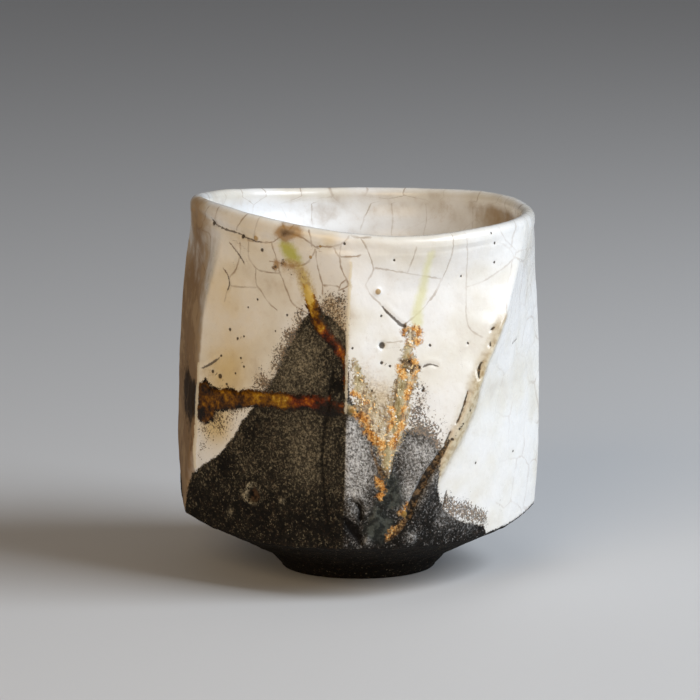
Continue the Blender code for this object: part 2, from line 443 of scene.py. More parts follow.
def rounded_marks(marks):
    for _ in range(2):
        early = 0.75 * marks[:-1] + 0.25 * marks[1:]
        late = 0.25 * marks[:-1] + 0.75 * marks[1:]
        between = np.stack([early, late], axis=1).reshape(-1, marks.shape[1])
        marks = np.concatenate([marks[:1], between[1:-1], marks[-1:]])
    return marks


def blobs(places, marks):
    """Sum of soft round patches drawn as (x, y, radius, strength), in pixels."""
    total = np.zeros(len(places))
    for x, y, radius, strength in marks:
        away = apart(places, seen((x, y))[0])
        total += strength * np.exp(-((np.hypot(away[:, 0], away[:, 1]) * PIXELS_PER_MM / radius) ** 2))
    return total


# Bare clay on the front, from its peak down the left, along the foot and back up the right. The last and
# first stretches are seen; the middle ones run under the shoulder.
CLAY_LEFT = (
    (307, 315), (299, 325), (289, 346), (282, 361), (275.6, 375), (268, 388), (258, 400), (249, 413), (241, 423),
    (233, 437), (223, 450), (214, 458), (202, 466), (193, 473), (189, 484), (186, 497),
)
CLAY_RIGHT = (
    (484, 526), (458, 521), (444, 511), (440, 500), (437, 485), (438, 470), (441, 454), (434, 444), (424, 437),
    (413, 433), (404, 432), (399, 437), (396, 447), (393, 458), (390, 470), (388, 478), (386, 474), (383, 462),
    (379, 449), (375, 437), (370, 426), (364, 415), (357, 409), (350, 398), (347, 360), (345, 332), (331, 318),
    (318, 309),
)

# Runs of coloured glass: (x, y, half width)
AMBER_STREAM = (
    (306, 286, 1.6), (308, 293, 4.6), (310.4, 300, 6.4), (314, 308, 7.6),
    (316, 316.5, 6.8), (318.8, 324, 6.2), (323.6, 331, 6.2), (329.3, 338.4, 6.0), (335, 345, 5.4), (341.5, 353, 4.8),
    (345.4, 361, 3.2), (346, 375, 1.7), (345.6, 391, 1.0),
)
AMBER_BAND = (
    (196.6, 383), (203, 381), (206, 377.5), (210.4, 385.6), (216.9, 388.3), (228.8, 387.8), (240.7, 391), (249.4, 388.4),
    (258, 391), (272, 392.7), (288, 393.3), (297, 395.8), (310, 395.6), (329.6, 396.4), (332, 399.7), (340, 402.6),
    (345.4, 404), (344.8, 414), (330, 417), (318.8, 412.7), (310, 408.4), (288.4, 410), (266.7, 407), (255.9, 406.6),
    (240.7, 408.2), (223.4, 411), (216, 411), (213, 420), (206, 424), (199, 421), (195.4, 412), (195.6, 394),
)
# How much darker the amber is than at its middle tone: (x, y, radius, amount)
AMBER_SHADE = (
    (204, 388, 9, 0.34), (206, 410, 11, 0.42), (202, 417, 6, 0.30), (218, 397, 12, 0.16), (262, 398, 15, -0.08),
    (282, 400, 9, -0.08), (240, 401, 8, 0.14), (300, 404, 9, 0.16), (322, 409, 10, 0.50), (334, 411, 9, 0.52),
    (225, 410, 5, 0.4), (240, 408, 5, 0.4), (255, 407, 5, 0.35), (270, 407, 5, 0.3), (288, 409, 5, 0.35),
    (303, 409, 5, 0.4), (343, 405, 4, -0.25), (303, 275, 14, -0.42), (308, 292, 11, -0.40), (313, 303, 8, -0.10), (318, 318, 8, 0.10),
    (330, 341, 8, 0.26), (337, 348, 6, 0.16), (342, 356, 5, -0.20), (346, 380, 8, -0.10), (196, 398, 6, 0.20),
)
# Where the amber turns red: (x, y, radius, amount)
AMBER_RED = (
    (295, 397, 12, 0.7), (312, 401, 16, 1.0), (334, 404, 12, 0.9), (318, 322, 8, 0.4), (328, 337, 10, 0.9),
    (338, 350, 9, 0.8), (345, 375, 14, 0.6),
)
# Copper lustre round the two arms of the V, in four paints
FILM = (
    ((404, 328, 1.5), (412, 332, 6.5), (413, 340, 5.5), (408, 348, 4.0), (408, 355, 5.0), (410, 364, 9.5),
     (409, 373, 10.0), (404, 384, 10.0), (401, 398, 10.5), (399, 412, 11.0), (396, 428, 10.0), (391, 442, 9.0),
     (387, 456, 6.2), (386, 468, 4.2), (387.5, 473.5, 2.4)),
    ((354, 362, 1.5), (357, 372, 3.5), (360, 384, 6.5), (364, 396, 9.0), (368, 408, 11.0), (374, 422, 10.0),
     (379, 436, 7.5), (384, 450, 6.0)),
    ((388, 408, 4.0), (385, 418, 6.0), (382, 427, 6.0)),
)
OLIVE = (
    ((408, 345, 1.6), (407, 353, 2.0), (405, 362, 4.6), (403, 372, 4.0), (401.5, 382, 4.4), (401, 394, 5.0),
     (399, 406, 5.4), (396, 418, 4.0), (393, 430, 3.0)),
    ((387, 446, 4.2), (387, 458, 4.4), (386.5, 467, 3.2)),
    ((348.5, 407, 2.0), (351.5, 410.3, 4.6)),
    ((358, 366, 2.0), (358, 378, 3.0), (357, 388, 2.4)),
)
ORANGE = (
    ((404, 333, 1.1), (408, 327, 1.8), (414, 327.5, 1.7), (419, 332, 1.5), (420.5, 338, 1.3), (416, 344, 1.2)),
    ((405.5, 336, 1.1), (407, 342, 1.0), (411, 346, 1.2), (414, 350, 1.2), (411, 355, 1.5)),
    ((399, 366, 1.2), (401, 373, 2.0), (405, 378, 1.6)),
    ((414, 362, 1.6), (418, 369, 2.0), (414, 375, 2.0), (409, 382, 1.8), (407, 392, 1.5), (405, 402, 1.4),
     (403.6, 410, 1.3), (403, 418, 1.4), (401, 427, 2.2), (397, 436, 2.4), (391, 444, 2.8)),
    ((392, 409, 0.9), (392.2, 417, 1.9), (391.6, 424, 1.8), (389, 432, 1.6)),
    ((353, 393, 1.3), (357, 395, 1.5), (362, 399, 1.2), (366, 404, 1.1)),
    ((353, 411, 1.6), (358, 414, 2.0), (363, 419, 2.6), (367, 427, 3.4), (372, 434, 3.8), (378, 441, 4.2),
     (384, 445, 3.6), (380, 450, 2.0)),
    ((379, 480, 1.3), (382, 490, 1.8), (380, 499, 1.6)),
    ((389.7, 536, 1.6), (394, 530, 1.0)),
    ((407, 506, 1.0), (403, 514, 1.6)),
)
UMBER = (
    ((399, 359, 1.0), (404, 362, 3.0), (411, 362, 4.2), (417, 366, 3.0), (419.5, 369, 1.5)),
    ((404, 369, 2.5), (411, 371, 3.0)),
    ((397, 379, 0.8), (396, 394, 0.9), (393.6, 405, 0.9), (391, 416, 0.8)),
    ((406, 518, 2.0), (402, 524, 3.4), (396, 531, 3.6), (390, 537, 2.4), (386, 541, 1.4)),
    ((370.6, 446, 0.7), (373.5, 457.4, 1.0), (378.3, 466, 1.5), (381.2, 474.6, 1.9), (386, 476.5, 1.3)),
    ((405.4, 323.6, 1.2), (404, 331, 0.8), (405.6, 337, 0.6)),
)
PALE_RUN = ((431, 254, 2.6), (426, 268, 3.4), (423, 292, 4.6), (418, 304, 5.0), (417, 322, 6.0))
GREEN_SPOT = ((284, 244, 4.0), (289, 250, 8.4), (294, 255, 7.6), (298, 259, 4.0))
OCHRE_RUN = ((290, 262.5, 2.6), (297, 265, 4.4), (302, 272, 7.0), (305, 282, 7.6), (308, 291, 7.6), (312, 302, 6.0))
SMOKE_POOLS = (
    ((381, 476), (386, 477.5), (392, 474), (399, 480), (401, 492), (404, 500), (401, 505), (392, 510), (384, 508),
     (379, 500), (381, 488)),
    ((377, 507), (385, 510), (392, 520), (391, 532), (384, 541), (372, 541), (365, 534), (368, 524), (372, 514)),
)

# The torn ridge: what shows of its dark seam, partly painted shade in its groove, and the beige band where glaze thins
# over it, as (x, y, half width)
SEAM_AND_SHADE = (
    ((495, 326.6, 0.6), (493.2, 328.4, 1.3), (491.4, 330, 0.7)),
    ((490.8, 342, 0.6), (490.4, 345, 0.9), (490.6, 347, 0.5)),
    ((483, 361, 0.6), (480.2, 365, 1.2), (479.1, 371, 1.6), (479, 378, 1.0)),
    ((468, 391.6, 0.5), (466, 399.5, 0.9), (462.8, 409, 0.8), (459.4, 418.6, 0.8), (456.4, 423.6, 0.5)),
    ((451, 431, 0.6), (448, 438, 0.9), (445, 444, 0.8)),
    (
        (450, 440, 0.9), (444, 449, 2.0), (438, 459, 3.0), (431, 469, 3.6), (424, 481, 3.8), (417, 495, 3.8),
        (411, 507, 3.6), (408, 519, 2.6),
    ),
)
TORN_BAND = (
    (505, 316, 1.2), (500, 326, 2.6), (495.5, 338, 2.2), (491.5, 351, 2.0), (486, 358, 2.6), (483.5, 368, 4.2),
    (481, 377, 5.0), (478, 385, 6.4), (474.5, 398, 7.0), (470.5, 409, 7.2), (464, 423, 7.2), (456.5, 438, 7.0),
    (450, 449, 6.4), (446, 458, 5.4), (440, 469, 5.4), (434, 480, 5.0), (428, 494, 4.4), (423, 507, 3.6),
)
# A fold in the bare clay, with painted shade along its groove
FOLD = ((333, 372), (329, 395), (326, 418), (322, 440), (321, 462), (323, 490), (327, 520), (333, 545))
RIM_GROOVE = (
    (194, 209), (203, 216), (213, 222.5), (236, 231), (257, 237), (276, 242), (300, 246), (330, 249), (370, 250),
    (420, 249), (470, 245), (500, 238), (524, 229),
)
# The ridge on the left, with a painted highlight along its lower part
LEFT_RIDGE = (
    (219, 230), (212, 262), (206, 300), (201, 335), (198.6, 376), (198, 403), (196, 435), (195, 452), (196, 468),
)
LEFT_RIDGE_HIGHLIGHT_FROM = 0.55
# Painted highlight along the middle ridge
MIDDLE_RIDGE_HIGHLIGHT = ((351, 262), (349, 300), (347.5, 340), (346.5, 380), (345.8, 414))

# Soft patches of soot specks: (x, y, radius, density)
SOOT = (
    (262, 376, 9, 0.34), (256, 386, 8, 0.36), (276, 354, 8, 0.30), (286, 334, 8, 0.34), (232, 412, 10, 0.50),
    (298, 320, 8, 0.42), (291, 334, 8, 0.42), (283, 350, 8, 0.42), (276, 366, 8, 0.42), (266, 384, 9, 0.40),
    (216, 418, 9, 0.55), (222, 428, 12, 0.40), (204, 428, 8, 0.50), (210, 440, 9, 0.22), (202, 446, 7, 0.34),
    (244, 408, 8, 0.40), (206, 470, 5, 0.30), (200, 458, 6, 0.25), (300, 312, 6, 0.42), (341, 300, 5, 0.20),
    (360, 376, 12, 0.14), (366, 394, 12, 0.22), (414, 384, 9, 0.40), (418, 398, 10, 0.40), (414, 414, 11, 0.50),
    (420, 426, 12, 0.52), (430, 436, 12, 0.50), (426, 388, 8, 0.14), (398, 342, 6, 0.10), (449, 496, 6, 0.30), (466, 498, 8, 0.16), (430, 408, 10, 0.16), (440, 424, 9, 0.16),
    (500, 506, 12, 0.14), (240, 350, 30, 0.015), (222, 402, 22, 0.06), (448, 428, 7, 0.10), (438, 446, 8, 0.36),
    (276, 267.6, 3.4, 0.75), (284, 262, 5, 0.42), (293, 274, 6, 0.20), (303, 276, 5, 0.25), (370, 414, 9, 0.30),
)
# Where the clay's edge fades out most softly
SOFT_EDGES = ((412, 432, 20, 0.5), (432, 440, 12, 0.3), (286, 346, 24, 0.5), (266, 384, 14, 0.4))
# Clay under so little glaze that grains of both show
THIN_CLAY = (
    (313, 304), (320, 296), (332, 292), (345, 290), (348.5, 300), (347.5, 330), (346, 358), (340, 347), (332, 336),
    (326, 328), (320, 318),
)
FLECKED_CLAY = ((442, 496), (452, 499), (468, 503), (486, 511), (487, 524), (470, 522), (450, 516), (442, 508))
# Brown glassy haze between the runs on the right, and stained glaze elsewhere: (x, y, radius, strength)
HAZE = (
    (364, 366, 12, 0.30), (358, 384, 12, 0.45), (376, 384, 15, 0.35), (384, 398, 14, 0.60), (372, 402, 12, 0.60),
    (420, 334, 6, 0.30), (395, 342, 8, 0.30), (424, 384, 9, 0.30), (422, 402, 10, 0.45), (414, 430, 10, 0.35),
    (298, 320, 9, 0.5), (290, 336, 9, 0.5), (282, 352, 9, 0.5), (274, 368, 9, 0.5), (264, 384, 10, 0.45),
    (222, 402, 24, 0.22), (205, 376, 12, 0.30), (300, 300, 8, 0.30), (296, 270, 10, 0.60), (284, 268, 7, 0.40),
    (334, 312, 13, 0.9), (340, 330, 10, 0.9), (344, 346, 6, 0.9), (328, 302, 9, 0.5), (345, 300, 6, 0.4), (406, 440, 10, 0.30), (412, 508, 10, 0.4),
    (280, 240, 12, 0.20), (205, 430, 10, 0.15), (212, 372, 6, 0.4), (238, 374, 10, 0.25), (258, 380, 8, 0.35),
)
# Brown smudges: (x, y, radius, strength)
STAINS = (
    (281.5, 231, 6, 0.9), (288.5, 233, 6.5, 1.0), (295, 231, 6, 0.6), (284, 238, 5, 0.4), (300, 233, 7, 0.3),
    (276, 236, 6, 0.2), (278, 263, 4.0, 0.8), (285, 264, 4.0, 0.8), (293, 266, 4.6, 0.6), (276.6, 267.6, 2.6, 0.8),
    (412, 522, 8, 0.4), (398, 534, 8, 0.4),
)
# The same on the inside wall
INNER_STAINS = (
    (428, 192, 6, 0.55), (418, 190, 5, 0.30), (475, 198, 6, 0.25), (311, 206, 5, 0.15), (444, 206, 14, 0.16),
    (480, 212, 10, 0.15), (330, 194, 9, 0.10), (372, 212, 6, 0.12),
)
# Warm tan glaze, partly painted shade where it lies on the left of the front: (x, y, radius, strength)
TAN_AND_SHADE = (
    (225, 376, 34, 0.85), (215, 425, 24, 1.00), (250, 340, 50, 0.35), (220, 290, 36, 0.55), (300, 270, 44, 0.30),
    (250, 235, 40, 0.40), (346, 320, 14, 0.30), (420, 420, 26, 0.12), (330, 240, 12, 0.45), (300, 237, 12, 0.3), (203, 206, 9, 0.5),
)
# How much pale grain shows in the bare clay: (x, y, radius, share). The patch at 243, 494 is a painted highlight on the
# blister's left rim
GRIT = (
    (306, 352, 20, 0.07), (290, 376, 26, 0.08), (316, 380, 12, 0.04), (302, 440, 24, 0.06), (304, 470, 20, 0.05),
    (338, 385, 7, -0.08), (250, 432, 12, -0.04), (225, 462, 16, -0.05), (352, 514, 8, 0.10), (367, 541, 4, 0.20),
    (412, 537, 6, 0.18), (402, 513, 6, 0.10), (376, 520, 5, 0.10), (366, 508, 6, 0.10), (231, 511, 4, 0.20),
    (281, 500, 3.0, 0.24), (243, 494, 3.0, 0.30), (336, 336, 12, 0.10), (300, 538, 14, 0.02), (355, 545, 12, 0.03),
)
# The same for the face right of the middle ridge, where it stops sharply at the ridge; this paler grain is partly
# painted light on the lit face
GRIT_AND_LIGHT_RIGHT = (
    (353, 425, 9, 0.22), (353, 446, 15, 0.31), (356, 472, 17, 0.31), (354, 494, 10, 0.20), (408, 446, 14, 0.12),
    (418, 470, 16, 0.11), (410, 494, 12, 0.24), (426, 452, 12, 0.20), (448, 512, 16, 0.12), (470, 518, 12, 0.12),
    (434, 476, 9, 0.09),
)
# Scorched brown glaze, on the left side partly painted shade of the face turned from the light, in (degrees, mm up,
# radius in mm, strength)
SCORCH_AND_SHADE = (
     (-82, 66, 18, 1.05), (-83, 44, 18, 1.15), (-80, 24, 16, 1.0), (-74, 86, 8, 0.60), (-104, 50, 18, 0.35),
    (-56, 84, 8, 0.20), (176, 80, 12, 0.25), (120, 30, 14, 0.2), (232, 26, 16, 0.35),
)
# Burnt black on the left side face: (x, y, radius in mm, strength)
CHAR = ((193, 398, 4.4, 3.2), (188, 396, 4.4, 2.4), (187, 380, 3.0, 0.8), (190, 424, 3.0, 0.7), (189, 438, 3.0, 0.5))

# Pits, beads and flecks: (x, y, radius)
PITS = (
    (219.8, 376.3, 2.4), (212.6, 371.5, 1.6), (221, 355.7, 1.2), (241, 358, 1.2), (244, 366.6, 1.3), (227, 384.2, 1.3),
    (235.6, 373.3, 1.1), (229.5, 329.7, 1.5), (244, 336.3, 1.0), (237.4, 338.7, 1.4), (248.6, 307.2, 0.9),
    (258, 299.4, 1.1), (212, 222.4, 3.0), (244.7, 236.4, 2.0), (264, 249.7, 1.8), (275, 331, 0.9), (287, 315, 1.2),
    (344.6, 243.7, 1.3), (382.2, 345.4, 3.2), (381.3, 316, 1.2), (381.7, 362.8, 1.6), (390, 366.2, 1.3),
    (352.6, 348.3, 1.1), (372, 390.7, 1.0), (430, 345.2, 1.4), (422.7, 390.4, 1.4), (423.4, 387.3, 0.9),
    (394, 260, 1.2), (461, 276, 1.1), (494, 243, 1.4), (491, 233, 1.1), (493, 262, 1.2), (468, 343, 1.2),
    (486.2, 371, 1.1), (476, 463, 1.3), (513, 451, 1.2), (458.5, 428.7, 1.2), (461.8, 423.4, 1.0), (451.8, 439.2, 1.4),
    (469, 410, 1.2), (408.9, 361.3, 1.5), (419.6, 367.4, 1.3),
)
BEADS = (
    (377.6, 291.5, 3.0), (351.5, 410.3, 2.2), (311.6, 256.6, 1.8), (320.7, 246, 1.4), (404, 514, 3.0),
    (258, 237.6, 2.8),
)

# Crazing on the front, one line each
CRACKS = (
    ((219.2, 208), (215.6, 216), (215.6, 224)),
    ((208.9, 207), (203.5, 215.8), (201, 230), (193.2, 228)),
    ((201, 230), (206, 232), (208.9, 236.4), (207.1, 248.5), (204.1, 260.6), (201, 272.7), (199.2, 280), (195.6, 291)),
    ((192.6, 237), (195, 252), (199.2, 265.4), (201, 271)),
    ((247.7, 214.2), (241.6, 220), (236.8, 230.3)),
    ((260.4, 217.4), (256.2, 224.5), (255.6, 235)),
    ((282.4, 223), (284.3, 228), (287.7, 232.2)),
    ((293.4, 225.2), (287.7, 232.2), (278.6, 238), (272.4, 242.7), (262, 241.5), (250, 240)),
    ((287.7, 232.2), (293.9, 234.6), (301.6, 237), (308.3, 240.8), (315, 246.6)),
    ((315, 247), (320.7, 246), (333, 247), (336, 246), (344.6, 242.3), (349.4, 236)),
    ((315.4, 249.4), (314.5, 253.3), (311.6, 257), (309.2, 261.4), (304.9, 264.7), (298.7, 265.7), (292, 265.2),
     (285.3, 263.8), (277.7, 261.9), (271.9, 261)),
    ((272.9, 242.7), (275.7, 250.4), (277.7, 258), (279.6, 266), (280.5, 272.4), (284.4, 282), (288.2, 293.4),
     (292, 303), (297.7, 307.8), (306.4, 312.6)),
    ((316.4, 251.4), (316.9, 261), (319.3, 270.5), (321.7, 280), (323, 287.7), (322.6, 294.4)),
    ((334, 247.5), (337, 253.3), (340.3, 256.6), (340.3, 264.7), (342.7, 271.4), (346.5, 279), (350.4, 287)),
    ((341.3, 245.6), (339.8, 253.3), (340.3, 256.6), (346.5, 256.6), (354.2, 256.6), (361, 255)),
    ((346.5, 279), (340.8, 284), (339.4, 288.7)),
    ((350.4, 285.3), (342.7, 288.7), (339, 290.6)),
    ((323.6, 285.3), (331.2, 285.3), (339.4, 286.7)),
    ((361, 238), (368, 250), (374, 268), (370, 277), (365, 285)),
    ((351, 236), (361, 237.6), (371, 237)),
    ((375, 268), (390, 270), (406, 273), (424, 276), (441, 279)),
    ((416, 248), (412, 260), (407, 273)),
    ((452, 235), (453, 248), (448, 263), (442, 280), (430, 301), (418, 314), (405, 324)),
    ((465, 233), (467, 243), (466, 265), (466, 287), (465.6, 304), (466, 319), (469, 329), (475.7, 334.4), (482.4, 337)),
    ((466, 287), (480, 283), (494, 274), (504, 267), (511, 260), (515, 252), (510, 246), (505, 241)),
    ((515, 252), (520, 250), (526, 249)),
    ((233.2, 241.8), (239.2, 249.7), (243.5, 255.7), (247.7, 263)),
    ((228.3, 268), (232.6, 275), (232.6, 283.6), (229.5, 290.3), (225.9, 300.6)),
    ((242.9, 242.4), (243.5, 255.7), (241.6, 260.6), (239.2, 270.3), (233.2, 277)),
    ((250.7, 241), (251, 256), (257.4, 268), (264.7, 271.5), (280, 273)),
    ((258, 268), (257.4, 284.8), (262, 291), (268, 302), (277, 310)),
    ((233.2, 284.8), (242.9, 287.2), (257.4, 287.2)),
    ((365, 285), (370, 295), (380, 304), (388, 313), (398, 322)),
    ((387.5, 342.5), (396, 342), (403, 341.5)),
    ((526, 249), (524, 268), (519, 290), (515, 311)),
    ((533, 257), (528, 280), (519, 311)),
    ((505, 241), (501, 233), (498, 227)),
    ((312, 246), (311, 238), (309, 230)),
    ((441, 279), (438, 290), (430, 301)),
    ((507, 290), (506.8, 304), (504, 318)),
)
SCRATCHES = (
    ((213, 223.6, 0.8), (222, 227.5, 0.6), (232, 230.9, 1.1), (240, 233.2, 0.7), (250, 238.5, 0.6), (264, 242.2, 0.4)),
    ((382, 306, 0.5), (386, 311, 1.0), (392, 317, 1.3), (397, 321, 1.5), (401, 325, 1.9), (405, 326, 1.2)),
    ((202, 368.4, 0.7), (211.4, 363.6, 1.5), (219.2, 358, 0.9)),
    ((423.4, 367, 1.5), (428, 364.3, 1.0), (431.8, 364.3, 0.8), (438, 366.3, 0.9)),
    ((446.6, 490, 0.9), (445, 498, 1.4), (443.4, 508, 1.0)),
    ((511.6, 343.5, 0.5), (516.8, 338.7, 0.5)),
    ((234, 243, 0.3), (239, 250, 0.5), (243.5, 255.7, 0.9), (247, 262, 0.4)),
    ((229, 269, 0.3), (232.6, 275, 0.4), (232.4, 284, 0.8), (229.5, 290.3, 0.8)),
    ((190.5, 434, 0.4), (190, 443, 0.9), (190.5, 452, 0.4)),
    ((188, 360, 0.5), (188.5, 370, 1.0), (191, 380, 0.8)),
)
# Crazing that shows on the inside wall
INNER_CRACKS = (
    ((311.8, 191), (311.5, 202), (312.4, 214), (312, 225)),
    ((375.8, 194), (370, 206), (362.8, 220), (361, 230)),
    ((392, 192), (391.4, 206), (392.6, 219), (391.6, 233)),
    ((426.8, 190), (425, 204), (426, 219), (424, 233)),
    ((472.3, 195), (473, 206), (471, 218), (472, 228)),
)
# How strongly the crazing shows at each x, and how far round a line its field is worked out
CRACK_STRENGTH = ((190, 350, 360, 450, 480, 530), (1.0, 1.0, 0.75, 0.62, 0.45, 0.35))
CRACK_MARGIN = 5.0
# The dark hollow torn out at the foot of the middle ridge, its near black partly painted shade, and the burst blister
# left of it
TORN_HOLLOW = (
    ((350, 500.5, 1.0), (357, 502.5, 2.0), (361.5, 510, 2.4), (360.5, 519, 2.0)),
    ((344, 519, 2.2), (350, 526, 4.4), (356, 534, 4.6), (361, 541, 3.0)),
)
BLISTER = (253, 494.5)
BLISTER_RADIUS = 2.3
NODULES = (
    (281.4, 500, 3.5, 0.6), (231.5, 511.5, 4.5, 0.6), (388, 470, 4.5, 0.9), (317, 331, 3.0, 0.5), (320.5, 333.5, 2.6, 0.4),
    (336, 351.8, 2.6, 0.4), (351, 512, 6.0, 0.6), (367, 540, 4.0, 0.8), (412, 537, 5.0, 0.7), (351.5, 410.3, 4.5, 0.5),
    (237, 262, 7, -0.34), (229, 284, 6, -0.30), (245, 250, 5, -0.25), (252, 290, 9, -0.22), (272, 330, 12, -0.25),
    (226, 330, 10, -0.24), (400, 258, 9, -0.26), (432, 266, 7, -0.22), (385, 280, 8, -0.18), (455, 300, 10, -0.20),
    (376, 520, 6.0, 0.4), (258, 237.6, 3.0, 0.5), (378.6, 349, 2.0, 0.3),
)

# Marks on the sides that the photograph doesn't show: bare clay as (degrees, mm up) outlines
BACK_CLAY = (
    ((150, 0), (147, 22), (152, 34), (158, 45), (163, 56), (168, 47), (174, 36), (184, 30), (196, 27), (207, 20), (212, 0)),
    ((92, 0), (93, 17), (100, 21), (108, 17), (116, 21), (124, 18), (132, 22), (139, 18), (150, 0)),
    ((212, 0), (214, 17), (222, 21), (232, 18), (243, 23), (254, 19), (262, 26), (270, 22), (278, 15), (280, 0)),
)
BACK_RUNS = (
    ((171, 76, 0.6), (169, 68, 0.9), (166, 60, 1.3), (165, 52, 1.5), (168, 43, 1.3), (172, 34, 0.9)),
    ((232, 43, 0.8), (220, 44, 1.5), (208, 42, 1.4), (196, 44, 1.2), (184, 43, 1.4), (172, 44, 1.0)),
)


def fractal(points, size, octaves=3, seed=0.0):
    """Soft noise from about -1 to 1 whose lumps are this many mm across."""
    scaled = points / (size * MM) + seed
    return np.array([noise.fractal(Vector(p), 1.0, 2.0, octaves) for p in scaled])


def cell_edges(points, seeds, bits):
    """Signed distance in mm to the borders between cells that differ in each of three bits."""
    result = np.zeros((len(points), 3))
    for start in range(0, len(points), 4000):
        part = points[start : start + 4000]
        squares = ((part[:, None, :] - seeds[None, :, :]) ** 2).sum(axis=2)
        own = squares.argmin(axis=1)
        least = squares[np.arange(len(part)), own]
        gaps = np.linalg.norm(seeds[own][:, None, :] - seeds[None, :, :], axis=2)
        border = (squares - least[:, None]) / (2.0 * np.maximum(gaps, 1e-9))
        for bit in range(3):
            differs = bits[own, bit][:, None] != bits[None, :, bit]
            away = np.where(differs, border, 1.0).min(axis=1)
            result[start : start + 4000, bit] = np.where(bits[own, bit], away, -away) / MM
    return result


def craze_cells(points, stretches):
    """The crazing of the whole cup, as borders of uneven cells, for the outside and the inside by turns."""
    random = np.random.default_rng(7)
    bent = points + np.stack([fractal(points, 7.0, 2, seed) for seed in (1.0, 12.0, 23.0)], axis=1) * 0.0011
    result = np.zeros((len(points), 3))
    for inner in (False, True):
        here = (stretches == "inner") == inner
        pool = points[here & (points[:, 2] > 0.012)]
        seeds = spaced_seeds(pool, 0.0095 if inner else 0.0078, random)
        bits = random.random((len(seeds), 3)) < 0.5
        result[here] = cell_edges(bent[here], seeds, bits)
    return result


def spaced_seeds(pool, spacing, random):
    """Points of a pool in random order, each kept only where no other is nearer than the spacing."""
    kept = []
    for point in pool[random.permutation(len(pool))[:9000]]:
        if all(np.linalg.norm(point - other) > spacing * (0.75 + 0.5 * random.random()) for other in kept):
            kept.append(point)
    return np.array(kept)


def crack_lines(places, cracks):
    """For three layers, the offset from the nearest drawn crack, and how surely it is drawn there."""
    offsets = np.full((len(places), 3), 5.0)
    reach = np.zeros((len(places), 3))
    for index, pixels in enumerate(cracks):
        layer = index % 3
        path = seen(*rounded_marks(np.array(pixels, float)))
        strength = np.interp(np.mean(pixels, axis=0)[0], CRACK_STRENGTH[0], CRACK_STRENGTH[1])
        low, high = path.min(axis=0) - CRACK_MARGIN, path.max(axis=0) + CRACK_MARGIN
        close = np.flatnonzero(((places > low) & (places < high)).all(axis=1))
        offset, _, overrun = nearest_on_path(places[close], path)
        nearer = np.abs(offset) < np.abs(offsets[close, layer])
        shown = (1.0 - smooth_step(np.abs(offset), 0.9, 1.6)) * (1.0 - smooth_step(overrun, 0.0, 0.35))
        offsets[close, layer] = np.where(nearer, offset, offsets[close, layer])
        reach[close, layer] = np.where(nearer, shown * strength, reach[close, layer])
    return offsets, reach


def spot_field(points, places, marks):
    """For round marks drawn as (x, y, radius) pixels, the vector in mm from the nearest, and its radius."""
    vectors = np.full((len(points), 3), 9.0)
    radii = np.zeros(len(points))
    for x, y, radius in marks:
        centre_place = seen((x, y))[0]
        away = apart(places, centre_place)
        near = np.hypot(away[:, 0], away[:, 1])
        closer = near < np.linalg.norm(vectors, axis=1)
        flat = np.column_stack([away, np.zeros(len(points))])
        vectors = np.where(closer[:, None], flat, vectors)
        size = radius / PIXELS_PER_MM
        radii = np.where(closer, np.where(near < size + 0.9, size, 0.0), radii)
    return vectors, radii


